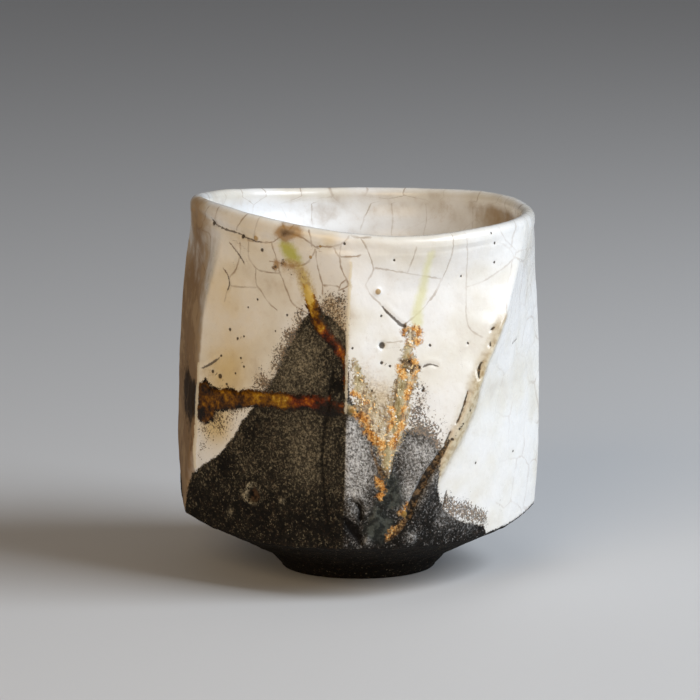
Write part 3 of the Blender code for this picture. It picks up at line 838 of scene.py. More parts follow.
def fields(points, stretches):
    """Every field that the relief and the material read, on each point."""
    places = place_of(points)
    wall = np.isin(stretches, ("body", "lip"))
    outer = stretches != "inner"
    below = np.isin(stretches, ("foot", "undercut"))
    far = np.where(wall, 0.0, -9.0)
    found = {}

    left, right = seen(*CLAY_LEFT), seen(*CLAY_RIGHT)
    under = np.array(((-84.0, -5.0), (60.0, -5.0)))
    clay = inside_outline(places, np.concatenate([left, under, right]))
    for outline in BACK_CLAY:
        clay = np.maximum(clay, inside_outline(places, rounded_marks(np.array(outline, float))))
    clay = np.where(below, 3.0, np.where(wall, clay, -9.0))
    shoulder_gap = np.where(below | ~outer, 9.0, edge_gap(points, stretches))
    found["clay"] = np.maximum(clay, np.where(wall, 0.5 - shoulder_gap, clay))

    stream, _ = run_of_glaze(places, AMBER_STREAM)
    amber = np.maximum(stream, inside_outline(places, seen(*AMBER_BAND)))
    tone = 0.42 + blobs(places, AMBER_SHADE)
    red = blobs(places, AMBER_RED)
    for run in BACK_RUNS:
        run = np.array(run, float)
        offset, along, _ = nearest_on_path(places, run[:, :2])
        inside = np.interp(along, np.linspace(0, 1, len(run)), run[:, 2]) - np.abs(offset)
        tone = np.where(inside > amber, 0.15 + 0.5 * along, tone)
        red = np.where(inside > amber, along, red)
        amber = np.maximum(amber, inside)
    found["amber"] = amber + far
    found["amber_tone"] = tone
    found["amber_red"] = red
    for name, runs in (("film", FILM), ("olive", OLIVE), ("orange", ORANGE), ("umber", UMBER)):
        found[name] = runs_of_glaze(places, runs) + far
    for name, runs in (("seam_and_shade", SEAM_AND_SHADE), ("scratch", SCRATCHES)):
        found[name] = thin_marks(places, runs)
        found[name][:, 1] += far
    found["pale"] = run_of_glaze(places, PALE_RUN)[0] + far
    found["green"] = run_of_glaze(places, GREEN_SPOT)[0] + far
    found["ochre"] = run_of_glaze(places, OCHRE_RUN)[0] + far
    found["pool"] = np.maximum(*[inside_outline(places, seen(*outline)) for outline in SMOKE_POOLS]) + far
    found["hollow"] = runs_of_glaze(places, TORN_HOLLOW) + far
    found["torn"] = run_of_glaze(places, TORN_BAND)[0] + far
    offset, _, overrun = nearest_on_path(places, seen(*RIM_GROOVE))
    found["groove"] = np.hypot(offset, overrun) + np.where(wall, 0.0, 99.0)
    left_offset, along, overrun = nearest_on_path(places, seen(*LEFT_RIDGE))
    # Painted highlight along the lower left ridge and the middle ridge
    left_highlight = np.where(along > LEFT_RIDGE_HIGHLIGHT_FROM, 0.50 - np.abs(left_offset) - overrun, -9.0)
    middle_offset, _, overrun = nearest_on_path(places, seen(*MIDDLE_RIDGE_HIGHLIGHT))
    middle_highlight = 0.34 - np.abs(middle_offset) - overrun
    found["painted_ridge_highlight"] = np.maximum(left_highlight, middle_highlight) + far

    front = wall * 1.0
    back = smooth_step(np.abs(places[:, 0]), 78.0, 95.0)
    soft = blobs(places, SOFT_EDGES) * front
    found["soft"] = soft
    near_clay = (0.30 + 0.34 * soft) * np.exp(-np.maximum(-found["clay"], 0.0) / (0.4 + 2.0 * back + 2.6 * soft))
    thin = 0.56 * smooth_step(inside_outline(places, seen(*THIN_CLAY)), -1.8, 2.4)
    thin += 0.72 * smooth_step(inside_outline(places, seen(*FLECKED_CLAY)), -1.4, 1.2)
    found["soot"] = (blobs(places, SOOT) + thin) * front + near_clay * wall
    found["stain"] = np.where(outer, blobs(places, STAINS) * front, blobs(places, INNER_STAINS))
    found["haze"] = blobs(places, HAZE) * front
    found["tan_and_shade"] = blobs(places, TAN_AND_SHADE) * front
    # Brown scorch, which on the left side is partly painted shade
    scorch_and_shade = np.zeros(len(places))
    for degrees, level, radius, strength in SCORCH_AND_SHADE:
        away = apart(places, (degrees, level))
        scorch_and_shade += strength * np.exp(-((np.hypot(away[:, 0], away[:, 1]) / radius) ** 2))
    # Painted shade: the upper inner wall on the right is browned
    inner_painted_shade = 0.90 * bump(apart(places, (75.0, 0.0))[:, 0], 38.0) * smooth_step(places[:, 1], 20.0, 60.0)
    for x, y, radius, strength in CHAR:
        away = apart(places, seen((x, y))[0])
        scorch_and_shade += strength * bump(np.hypot(away[:, 0], away[:, 1]), radius)
    # The painted shade stops at the left ridge, where the face turns toward the light
    near_left_ridge = bump(apart(places, (-60.0, 0.0))[:, 0], 16.0)
    scorch_and_shade *= 1.0 - near_left_ridge * smooth_step(left_offset, -0.4, 0.6)
    # Inside: an even light brown tint, plus the painted shade on the right of the inner wall
    found["scorch_and_shade"] = np.where(outer, scorch_and_shade, 0.12 + inner_painted_shade)
    height_grit = 0.018 + 0.045 * smooth_step(places[:, 1], 17.0, 32.0)
    # Right of the middle ridge the clay grain is made paler and greyer, partly as painted light
    lit_right_face = smooth_step(middle_offset, -0.25, 0.35) * front
    grit_light_and_shade = height_grit + blobs(places, GRIT) * front + blobs(places, GRIT_AND_LIGHT_RIGHT) * lit_right_face
    # Under the shoulder the pale grain is left out: painted shade on the undercut and the foot
    found["grit_light_and_shade"] = np.clip(np.where(below, 0.004, grit_light_and_shade), 0.0, 1.0)
    found["cool_painted_light"] = lit_right_face
    blister = apart(places, seen(BLISTER)[0])
    # The blister's rim is made paler, most on its left: pale grain and a painted highlight
    away = np.hypot(blister[:, 0], blister[:, 1]) + 0.35 * np.sin(blister[:, 1] * 1.7) + np.where(wall, 0.0, 99.0)
    found["blister_rim_and_highlight"] = bump(away - BLISTER_RADIUS, 0.5) * (0.3 + 0.7 * smooth_step(-blister[:, 0], -0.8, 1.8))
    found["blister_floor"] = smooth_step(-away, -BLISTER_RADIUS, -1.2)
    # Painted light: the inner wall at the back left, where the key light falls, is made paler and bluer
    found["inner_painted_light"] = np.where(outer, 0.0, bump(apart(places, (-150.0, 0.0))[:, 0], 42.0))
    front_view = (1.0 - smooth_step(places[:, 0], 46.0, 62.0)) * smooth_step(places[:, 0], -66.0, -60.0)
    inner_view = bump(apart(places, (170.0, 0.0))[:, 0], 60.0) * smooth_step(places[:, 1], 62.0, 68.0)
    beside = 1.0 - 0.5 * bump(apart(places, (70.0, 0.0))[:, 0], 22.0) - 0.3 * bump(apart(places, (-84.0, 0.0))[:, 0], 16.0)
    found["craze_show"] = np.where(outer, (1.0 - front_view) * beside, 0.8 - 0.7 * inner_view) * ~below
    found["craze_cells"] = craze_cells(points, stretches)
    offsets, reaches = crack_lines(places, CRACKS)
    inner_offsets, inner_reaches = crack_lines(places, INNER_CRACKS)
    found["crack_offset"] = np.where(outer[:, None], offsets, inner_offsets)
    found["crack_reach"] = np.where(outer[:, None], reaches * wall[:, None], inner_reaches)
    found["pit_offset"], found["pit_radius"] = spot_field(points, places, PITS)
    found["bead_offset"], found["bead_radius"] = spot_field(points, places, BEADS)
    found["pit_radius"] *= wall
    found["bead_radius"] *= wall
    found["fold"] = np.abs(nearest_on_path(places, seen(*FOLD))[0]) + np.where(wall, 0.0, 99.0)
    return found


def edge_gap(points, stretches):
    """Millimetres up from the shoulder's edge in the same direction."""
    body = points[stretches == "body"]
    edge = body[: len(FACET_OF)]
    degrees = place_of(edge)[:, 0]
    order = np.argsort(degrees)
    level = np.interp(place_of(points)[:, 0], degrees[order], edge[order, 2], period=360.0)
    return (points[:, 2] - level) / MM


def bump(distance, width):
    return np.exp(-((distance / width) ** 2))


def relief(points, stretches, found):
    """Millimetres by which each point moves out along its normal."""
    places = place_of(points)
    wall = np.isin(stretches, ("body", "lip")) * 1.0
    body = (stretches == "body") * 1.0
    below = np.isin(stretches, ("foot", "undercut")) * 1.0
    inner = (stretches == "inner") * 1.0
    bare = smooth_step(found["clay"], -0.3, 0.5)

    waves = 0.20 * fractal(points, 15.0, 2, 3.0) + 0.075 * fractal(points, 4.5, 2, 40.0)
    move = waves * body + 0.10 * fractal(points, 9.0, 2, 60.0) * (stretches == "lip")
    move += 0.05 * fractal(points, 3.5, 2, 90.0) * (stretches == "lip")
    move += 0.14 * fractal(points, 12.0, 2, 80.0) * inner
    grain = fractal(points, 1.5, 3, 120.0)
    move += bare * wall * (0.085 * grain - 0.16)
    torn = 0.22 * fractal(points, 4.0, 3, 160.0) + 0.12 * fractal(points, 1.6, 2, 200.0)
    move += below * torn * smooth_step(places[:, 1], 0.3, 3.0)

    move += 0.26 * smooth_step(found["amber"], -0.25, 0.9)
    move += (0.22 + 0.12 * grain) * smooth_step(found["film"], -0.3, 1.6)
    move += 0.12 * smooth_step(found["orange"], -0.3, 0.4)
    move += 0.10 * smooth_step(found["pool"], -0.3, 0.5)
    move -= (1.0 + 0.3 * grain) * smooth_step(found["hollow"], -0.35, 0.45)
    move += 0.46 * smooth_step(found["torn"], -1.3, 0.9)
    move -= 0.70 * smooth_step(found["seam_and_shade"][:, 1] - np.abs(found["seam_and_shade"][:, 0]), -0.45, 0.25)
    move -= 0.30 * bump(found["fold"], 0.55)
    scratch = found["scratch"][:, 1] - np.abs(found["scratch"][:, 0])
    move -= 0.20 * smooth_step(scratch, -0.35, 0.15)
    move += 0.10 * bump(scratch + 0.9, 0.5) * (found["scratch"][:, 0] > 0.0)
    move += 0.10 * smooth_step(found["painted_ridge_highlight"], -0.5, 0.3)

    left_side = smooth_step(-places[:, 0], 12.0, 50.0)
    move -= (0.08 + 0.36 * left_side) * bump(found["groove"], 0.8) * wall
    move += 0.07 * bump(found["groove"] - 1.3, 0.9) * wall

    move += 0.65 * found["blister_rim_and_highlight"] - 0.70 * found["blister_floor"]
    for x, y, radius, height in NODULES:
        away = apart(places, seen((x, y))[0])
        move += height * bump(np.hypot(away[:, 0], away[:, 1]), radius / PIXELS_PER_MM) * wall
    for kind, sign in (("pit", -0.9), ("bead", 0.9)):
        size = np.maximum(found[kind + "_radius"], 1e-6)
        away = np.linalg.norm(found[kind + "_offset"], axis=1)
        move += sign * size * bump(away, size * 1.1) * (found[kind + "_radius"] > 0.0)
    return move


def make_cup():
    points, faces, stretches = skin()
    mesh = bpy.data.meshes.new("raku_cup")
    mesh.from_pydata(points.tolist(), [], faces)
    mesh.update()
    normals = np.zeros(len(points) * 3)
    mesh.vertex_normals.foreach_get("vector", normals)
    found = fields(points, stretches)
    moved = points + normals.reshape(-1, 3) * relief(points, stretches, found)[:, None] * MM
    moved[:, 2] = np.maximum(moved[:, 2], 0.0)
    mesh.vertices.foreach_set("co", moved.ravel())
    for name, values in found.items():
        kind = "FLOAT" if values.ndim == 1 else "FLOAT_VECTOR"
        field = mesh.attributes.new(name, kind, "POINT")
        field.data.foreach_set("value" if values.ndim == 1 else "vector", values.ravel().astype(np.float32))
    mesh.polygons.foreach_set("use_smooth", np.ones(len(mesh.polygons), bool))
    mesh.update()
    cup = bpy.data.objects.new("raku_cup", mesh)
    bpy.context.scene.collection.objects.link(cup)
    return cup


# ---- the material

class Graph:
    """Short ways to write the shader nodes of one material."""

    def __init__(self, name):
        self.material = bpy.data.materials.new(name)
        self.material.use_nodes = True
        self.tree = self.material.node_tree
        self.shader = self.tree.nodes["Principled BSDF"]
        place = self.tree.nodes.new("ShaderNodeTexCoord").outputs["Object"]
        self.mm = self.vector("SCALE", place, scale=1.0 / MM)

    def feed(self, socket, value):
        if isinstance(value, bpy.types.NodeSocket):
            self.tree.links.new(value, socket)
        else:
            socket.default_value = value

    def vector(self, operation, *values, scale=None):
        node = self.tree.nodes.new("ShaderNodeVectorMath")
        node.operation = operation
        for socket, value in zip(node.inputs, values):
            self.feed(socket, value)
        if scale is not None:
            self.feed(node.inputs["Scale"], scale)
        return node.outputs["Value" if operation == "LENGTH" else "Vector"]

    def maths(self, operation, *values):
        node = self.tree.nodes.new("ShaderNodeMath")
        node.operation = operation
        for socket, value in zip(node.inputs, values):
            self.feed(socket, value)
        return node.outputs[0]

    def add(self, *values):
        total = values[0]
        for value in values[1:]:
            total = self.maths("ADD", total, value)
        return total

    def times(self, *values):
        product = values[0]
        for value in values[1:]:
            product = self.maths("MULTIPLY", product, value)
        return product

    def fade(self, value, low, high, bottom=0.0, top=1.0):
        """A smooth step from bottom to top as a value goes from low to high."""
        node = self.tree.nodes.new("ShaderNodeMapRange")
        node.interpolation_type = "SMOOTHSTEP"
        for socket, item in zip(("Value", "From Min", "From Max", "To Min", "To Max"), (value, low, high, bottom, top)):
            self.feed(node.inputs[socket], item)
        return node.outputs["Result"]

    def field(self, name):
        node = self.tree.nodes.new("ShaderNodeAttribute")
        node.attribute_name = name
        return node

    def noise(self, scale, detail=2.0, roughness=0.5, place=None, distortion=0.0):
        """Noise from 0 to 1, scale lumps to the millimetre."""
        node = self.tree.nodes.new("ShaderNodeTexNoise")
        self.feed(node.inputs["Vector"], place or self.mm)
        self.feed(node.inputs["Scale"], scale)
        self.feed(node.inputs["Detail"], detail)
        self.feed(node.inputs["Roughness"], roughness)
        self.feed(node.inputs["Distortion"], distortion)
        return node.outputs["Fac"]

    def stirred(self):
        """The place in mm, moved about a little so that crumbs come out uneven."""
        node = self.tree.nodes.new("ShaderNodeTexNoise")
        self.feed(node.inputs["Vector"], self.mm)
        self.feed(node.inputs["Scale"], 1.6)
        return self.vector("ADD", self.mm, self.vector("SCALE", node.outputs["Color"], scale=0.9))

    def crumbs(self, size, place):
        """Two random numbers from 0 to 1 for each crumb this many mm across, and the distance from its middle."""
        node = self.tree.nodes.new("ShaderNodeTexVoronoi")
        self.feed(node.inputs["Vector"], place)
        self.feed(node.inputs["Scale"], 1.0 / size)
        split = self.tree.nodes.new("ShaderNodeSeparateColor")
        self.feed(split.inputs[0], node.outputs["Color"])
        return split.outputs[0], split.outputs[1], node.outputs["Distance"]

    def parts(self, name):
        """The three numbers of a field that holds vectors."""
        split = self.tree.nodes.new("ShaderNodeSeparateXYZ")
        self.feed(split.inputs[0], self.field(name).outputs["Vector"])
        return list(split.outputs)

    def line(self, name, ragged):
        """1 inside the thin marks of one kind and 0 outside."""
        offset, half_width, _ = self.parts(name)
        inside = self.add(half_width, self.times(self.maths("ABSOLUTE", offset), -1.0), ragged)
        return self.fade(inside, -0.14, 0.14)

    def disc(self, kind, radius, ragged):
        """1 inside the round marks of one kind and 0 outside."""
        away = self.add(self.vector("LENGTH", self.field(kind + "_offset").outputs["Vector"]), ragged)
        inside = self.fade(away, self.times(radius, 0.75), self.times(radius, 1.25), 1.0, 0.0)
        return self.times(inside, self.fade(radius, 0.05, 0.15))

    def mix(self, share, low, high):
        node = self.tree.nodes.new("ShaderNodeMix")
        node.data_type = "RGBA"
        sockets = [s for s in node.inputs if s.enabled]
        self.feed(sockets[0], share)
        self.feed(sockets[1], low)
        self.feed(sockets[2], high)
        return [s for s in node.outputs if s.enabled][0]

    def blend(self, share, low, high):
        """low where share is 0 and high where it is 1, for numbers."""
        node = self.tree.nodes.new("ShaderNodeMix")
        node.data_type = "FLOAT"
        self.feed(node.inputs[0], share)
        self.feed(node.inputs[2], low)
        self.feed(node.inputs[3], high)
        return node.outputs[0]

    def ramp(self, value, *stops):
        node = self.tree.nodes.new("ShaderNodeValToRGB")
        elements = node.color_ramp.elements
        while len(elements) < len(stops):
            elements.new(0.5)
        for element, (position, colour) in zip(elements, stops):
            element.position = position
            element.color = (*colour, 1.0)
        self.feed(node.inputs[0], value)
        return node.outputs["Color"]


def rgb(red, green, blue):
    return (red, green, blue, 1.0)


WHITE_GLAZE = rgb(0.80, 0.79, 0.775)
CREAM_GLAZE = rgb(0.75, 0.72, 0.65)
# Brown of scorched glaze, also the colour of the painted shade on the left side and inside
SCORCH_AND_SHADE_GLAZE = rgb(0.24, 0.155, 0.085)
CRAZE_BROWN = rgb(0.27, 0.175, 0.10)
SOOT_BLACK = rgb(0.038, 0.026, 0.017)
SOOT_BROWN = rgb(0.21, 0.13, 0.065)
CLAY_BLACK = rgb(0.0055, 0.0045, 0.0035)
CLAY_DARK = rgb(0.040, 0.033, 0.024)
CLAY_PALE = rgb(0.45, 0.385, 0.26)
# Grey of the pale grain where cool light is painted in
CLAY_COOL_LIT = rgb(0.62, 0.61, 0.60)


def raku_glaze():
    """White crackle glaze, bare smoked clay, amber and copper glass, soot, stains and pits, with painted light and
    shade.
    """
    g = Graph("raku_glaze")
    value = {}
    for name in ("clay", "amber", "amber_tone", "amber_red", "film", "olive", "orange", "umber", "pale", "green", "ochre",
                 "pool", "hollow", "torn", "painted_ridge_highlight", "soot", "fold", "stain", "haze", "scorch_and_shade",
                 "grit_light_and_shade", "cool_painted_light", "soft", "blister_rim_and_highlight", "blister_floor", "craze_show", "pit_radius", "bead_radius", "tan_and_shade"):
        value[name] = g.field(name).outputs["Fac"]
    upright = g.vector("MULTIPLY", g.mm, (1.0, 1.0, 0.80))
    grain = g.noise(2.3, 3.0, 0.6)
    clump = g.noise(0.85, 2.0)
    mottle = g.noise(0.32, 3.0)
    broad = g.noise(0.07, 2.0)
    crumb, crumb_tone, crumb_edge = g.crumbs(0.36, g.stirred())
    sand = g.fade(g.noise(1.9, 2.0, 0.70), 0.30, 0.70)
    dust = g.fade(g.noise(2.0, 2.0, 0.6, place=g.vector("ADD", g.mm, (40.0, 11.0, 7.0))), 0.30, 0.70)
    streaks = g.fade(g.noise(1.6, 3.0, 0.65, place=g.vector("ADD", upright, (3.0, 50.0, 21.0))), 0.30, 0.70)
    dice = g.add(g.times(sand, 0.70), g.times(crumb, 0.30))
    rag = g.add(g.times(g.add(grain, -0.5), 1.7), g.times(g.add(clump, -0.5), 1.5))
    soft_rag = g.add(g.times(g.add(grain, -0.5), 0.5), g.times(g.add(clump, -0.5), 0.9))

    fine_patch = g.fade(clump, 0.38, 0.60)
    glaze = g.mix(g.fade(broad, 0.38, 0.62), WHITE_GLAZE, CREAM_GLAZE)
    glaze = g.mix(g.times(g.fade(mottle, 0.35, 0.75), 0.30), glaze, rgb(0.86, 0.85, 0.83))
    # Tan glaze, partly painted shade on the left of the front
    glaze = g.mix(g.fade(g.add(value["tan_and_shade"], g.times(g.add(mottle, -0.5), 0.3)), 0.0, 1.1), glaze, rgb(0.66, 0.51, 0.26))
    # Painted light on the inner wall at the back left
    inner_painted_light = g.field("inner_painted_light").outputs["Fac"]
    glaze = g.mix(g.times(inner_painted_light, 0.9), glaze, rgb(0.86, 0.885, 0.92))
    # Brown scorch on the glaze; on the left side it is partly painted shade
    scorch_and_shade = g.add(value["scorch_and_shade"], g.times(g.add(mottle, -0.5), 0.6), g.times(g.add(broad, -0.5), 1.1))
    scorch_and_shade = g.fade(scorch_and_shade, 0.0, 1.0)
    glaze = g.mix(scorch_and_shade, glaze, SCORCH_AND_SHADE_GLAZE)
    clearing = g.fade(g.add(broad, g.times(g.add(mottle, -0.5), 0.6)), 0.44, 0.64, 0.0, 0.5)
    glaze = g.mix(g.times(scorch_and_shade, clearing), glaze, rgb(0.46, 0.34, 0.21))
    char = g.add(value["scorch_and_shade"], g.times(g.add(clump, -0.5), 1.4), g.times(g.add(mottle, -0.5), 0.8))
    glaze = g.mix(g.fade(char, 1.6, 2.6, 0.0, 0.95), glaze, rgb(0.020, 0.012, 0.006))

    craze = craze_lines(g, value["craze_show"], clump)
    glaze = g.mix(g.times(craze, 0.80), glaze, CRAZE_BROWN)

    pale = g.fade(g.add(value["pale"], soft_rag), -1.2, 0.9)
    glaze = g.mix(g.times(pale, 0.70), glaze, rgb(0.68, 0.66, 0.34))
    green = g.fade(g.add(value["green"], g.times(soft_rag, 1.5)), -1.5, 1.2)
    glaze = g.mix(g.times(green, 0.90), glaze, rgb(0.44, 0.43, 0.035))
    ochre = g.fade(g.add(value["ochre"], g.times(soft_rag, 1.6), g.times(g.add(dice, -0.5), 0.7)), -1.2, 1.1)
    glaze = g.mix(g.times(ochre, 0.85), glaze, g.mix(fine_patch, rgb(0.58, 0.44, 0.10), rgb(0.42, 0.27, 0.045)))
    haze = g.add(value["haze"], g.times(g.add(clump, -0.5), 0.5), g.times(g.add(mottle, -0.5), 0.4))
    haze = g.fade(haze, 0.05, 1.05)
    haze_colour = g.mix(dust, rgb(0.36, 0.25, 0.13), rgb(0.66, 0.55, 0.38))
    glaze = g.mix(g.times(haze, 0.9), glaze, haze_colour)
    torn = g.fade(g.add(value["torn"], g.times(soft_rag, 0.6)), -2.4, 1.4)
    torn_colour = g.mix(g.fade(clump, 0.4, 0.65), rgb(0.54, 0.45, 0.29), rgb(0.38, 0.28, 0.14))
    glaze = g.mix(g.times(torn, 0.92), glaze, torn_colour)

    stain = g.add(value["stain"], g.times(g.add(clump, -0.5), 0.45), g.times(g.add(grain, -0.5), 0.25))
    glaze = g.mix(g.fade(stain, 0.0, 0.7, 0.0, 0.85), glaze, rgb(0.36, 0.20, 0.055))
    glaze = g.mix(g.fade(stain, 0.70, 1.60, 0.0, 0.9), glaze, rgb(0.050, 0.022, 0.008))

    specks = g.fade(g.add(value["soot"], g.times(dice, -1.0)), -0.03, 0.09)
    soot_colour = g.mix(g.fade(crumb_tone, 0.35, 0.85), SOOT_BLACK, SOOT_BROWN)
    glaze = g.mix(g.times(specks, 0.86), glaze, soot_colour)

    clay_reach = g.add(value["clay"], g.times(rag, 0.55), g.times(g.add(dice, -0.5), g.add(0.5, g.times(value["soft"], 4.0))))
    clay_mask = g.fade(clay_reach, -0.16, 0.20)
    # Share of pale grain, which also carries painted light right of the middle ridge and painted shade under the
    # shoulder
    share = g.add(value["grit_light_and_shade"], g.times(g.add(mottle, -0.5), 0.08), g.times(g.add(clump, -0.5), 0.06))
    share = g.maths("MAXIMUM", share, 0.004)
    grains = g.add(g.times(crumb_tone, 0.42), g.times(streaks, 0.32), g.times(sand, 0.26))
    brightness = g.maths("POWER", g.fade(grains, 0.10, 0.90), g.add(g.maths("DIVIDE", 0.26, share), 0.23))
    strength = g.fade(share, 0.03, 0.34, 0.37, 0.96)
    brightness = g.add(g.times(brightness, strength), g.times(share, g.fade(dust, 0.0, 1.0, 0.02, 0.50)))
    # Greyer pale grain right of the middle ridge: painted cool light
    clay_pale = g.mix(value["cool_painted_light"], CLAY_PALE, CLAY_COOL_LIT)
    clay_base = g.mix(g.fade(g.add(share, g.times(g.add(clump, -0.5), 0.10)), 0.0, 0.24), CLAY_BLACK, CLAY_DARK)
    clay = g.mix(brightness, clay_base, clay_pale)
    warm = g.times(g.fade(clump, 0.45, 0.65), g.fade(crumb_tone, 0.4, 0.9), 0.10)
    clay = g.mix(warm, clay, rgb(0.16, 0.075, 0.035))
    colour = g.mix(clay_mask, glaze, clay)
    # Pale grain on the blister's rim, with a painted highlight on its left
    colour = g.mix(g.times(value["blister_rim_and_highlight"], g.fade(grains, 0.30, 0.62)), colour, rgb(0.42, 0.37, 0.26))
    colour = g.mix(g.times(value["blister_floor"], 0.8), colour, g.mix(fine_patch, CLAY_BLACK, rgb(0.085, 0.045, 0.022)))
    # Painted shade along the fold's groove
    painted_fold_shade = g.fade(g.add(value["fold"], g.times(g.add(clump, -0.5), 0.5)), 0.1, 0.7, 0.85, 0.0)
    colour = g.mix(painted_fold_shade, colour, CLAY_BLACK)

    pool = g.fade(g.add(value["pool"], g.times(soft_rag, 1.6)), -1.7, 1.1)
    pool_colour = g.mix(g.fade(clump, 0.4, 0.65), rgb(0.012, 0.014, 0.012), rgb(0.060, 0.066, 0.056))
    colour = g.mix(g.times(pool, 0.92), colour, pool_colour)

    colour, lustre = copper_lustre(g, value, colour, dice, dust, crumb_tone, soft_rag, clump)

    amber_reach = g.add(value["amber"], 0.12, g.times(rag, 0.75), g.times(g.add(dice, -0.5), 0.9))
    amber_mask = g.fade(amber_reach, -0.25, 0.25)
    rim_dark = g.times(g.fade(value["amber"], 0.0, 0.9, 0.30, 0.0), g.fade(value["amber_tone"], 0.0, 0.4))
    tone = g.add(value["amber_tone"], rim_dark, g.times(g.add(mottle, -0.5), 0.8))
    tone = g.add(tone, g.times(g.add(clump, -0.5), 1.1), g.times(g.add(dust, -0.5), 0.14))
    olive_amber = g.ramp(
        tone, (0.0, (0.64, 0.45, 0.10)), (0.16, (0.43, 0.23, 0.014)), (0.36, (0.23, 0.095, 0.003)),
        (0.58, (0.085, 0.031, 0.001)), (0.80, (0.024, 0.009, 0.001)), (1.0, (0.007, 0.004, 0.001)),
    )
    red_amber = g.ramp(
        tone, (0.0, (0.70, 0.38, 0.07)), (0.16, (0.50, 0.17, 0.007)), (0.36, (0.27, 0.058, 0.002)),
        (0.58, (0.105, 0.016, 0.001)), (0.80, (0.026, 0.006, 0.001)), (1.0, (0.008, 0.004, 0.001)),
    )
    red = g.fade(g.add(value["amber_red"], g.times(g.add(clump, -0.5), 0.8)), 0.2, 0.8)
    amber = g.mix(red, olive_amber, red_amber)
    thin = g.fade(value["amber_tone"], -0.10, 0.15, 0.80, 1.0)
    amber_mask = g.times(amber_mask, thin)
    colour = g.mix(amber_mask, colour, amber)
    # Painted highlight along the ridges
    edge = g.fade(g.add(value["painted_ridge_highlight"], g.times(soft_rag, 0.8)), -0.12, 0.16)
    colour = g.mix(g.times(edge, 0.78), colour, rgb(0.72, 0.65, 0.50))

    # Dark seam of the torn ridge, partly painted shade in its groove
    seam_and_shade = g.line("seam_and_shade", g.times(soft_rag, 0.5))
    seam_and_shade_colour = g.mix(g.times(g.fade(clump, 0.40, 0.60), dust), rgb(0.014, 0.010, 0.007), rgb(0.22, 0.135, 0.065))
    colour = g.mix(g.times(seam_and_shade, 0.95), colour, seam_and_shade_colour)
    scratch = g.line("scratch", g.times(rag, 0.30))
    colour = g.mix(g.times(scratch, 0.85), colour, rgb(0.060, 0.040, 0.026))
    # Near black in the torn hollow: bare clay, partly painted shade
    hollow = g.fade(g.add(value["hollow"], g.times(rag, 0.7)), -0.4, 0.4)
    colour = g.mix(g.times(hollow, 0.92), colour, rgb(0.006, 0.005, 0.005))

    pit = g.disc("pit", value["pit_radius"], g.times(g.add(grain, -0.5), 0.3))
    colour = g.mix(g.times(pit, 0.90), colour, rgb(0.040, 0.026, 0.016))
    bead = g.disc("bead", value["bead_radius"], 0.0)
    colour = g.mix(g.times(bead, 0.85), colour, rgb(0.36, 0.22, 0.06))
    g.feed(g.shader.inputs["Base Color"], colour)

    glass = g.maths("MAXIMUM", amber_mask, g.maths("MAXIMUM", bead, g.times(pool, 0.8)))
    rough = g.add(g.fade(mottle, 0.3, 0.7, 0.20, 0.36), g.fade(scorch_and_shade, 0.0, 0.8, 0.0, 0.5))
    rough = g.blend(g.times(specks, 0.8), rough, 0.60)
    rough = g.blend(clay_mask, rough, 0.85)
    rough = g.blend(g.times(lustre, 0.8), rough, 0.30)
    rough = g.blend(glass, rough, 0.12)
    dull = g.maths("MAXIMUM", seam_and_shade, g.maths("MAXIMUM", pit, hollow))
    rough = g.blend(dull, rough, 0.85)
    g.feed(g.shader.inputs["Roughness"], rough)
    g.shader.inputs["Specular IOR Level"].default_value = 0.12
    g.shader.inputs["Coat Roughness"].default_value = 0.25
    gloss = g.blend(clay_mask, g.fade(scorch_and_shade, 0.0, 0.8, 0.9, 0.0), 0.0)
    gloss = g.times(g.blend(g.times(specks, 0.8), gloss, 0.1), g.fade(inner_painted_light, 0.0, 1.0, 1.0, 0.3))
    gloss = g.blend(g.maths("MAXIMUM", glass, g.times(lustre, 0.8)), gloss, 0.14)
    g.feed(g.shader.inputs["Coat Weight"], g.blend(dull, gloss, 0.0))

    skin_height = g.add(g.times(g.noise(0.42, 2.0), 0.10), g.times(g.noise(1.5, 2.0), 0.014))
    clay_height = g.add(g.times(grain, 0.24), g.times(brightness, 0.12))
    height = g.blend(clay_mask, skin_height, clay_height)
    height = g.add(height, g.times(craze, -0.03), g.times(specks, -0.04), g.times(pit, -0.15))
    height = g.add(height, g.times(lustre, crumb_edge, 0.20), g.times(lustre, dust, 0.12))
    height = g.add(height, g.times(haze, dust, 0.05))
    bumps = g.tree.nodes.new("ShaderNodeBump")
    bumps.inputs["Strength"].default_value = 1.0
    bumps.inputs["Distance"].default_value = MM
    g.feed(bumps.inputs["Height"], height)
    g.feed(g.shader.inputs["Normal"], bumps.outputs["Normal"])
    return g.material


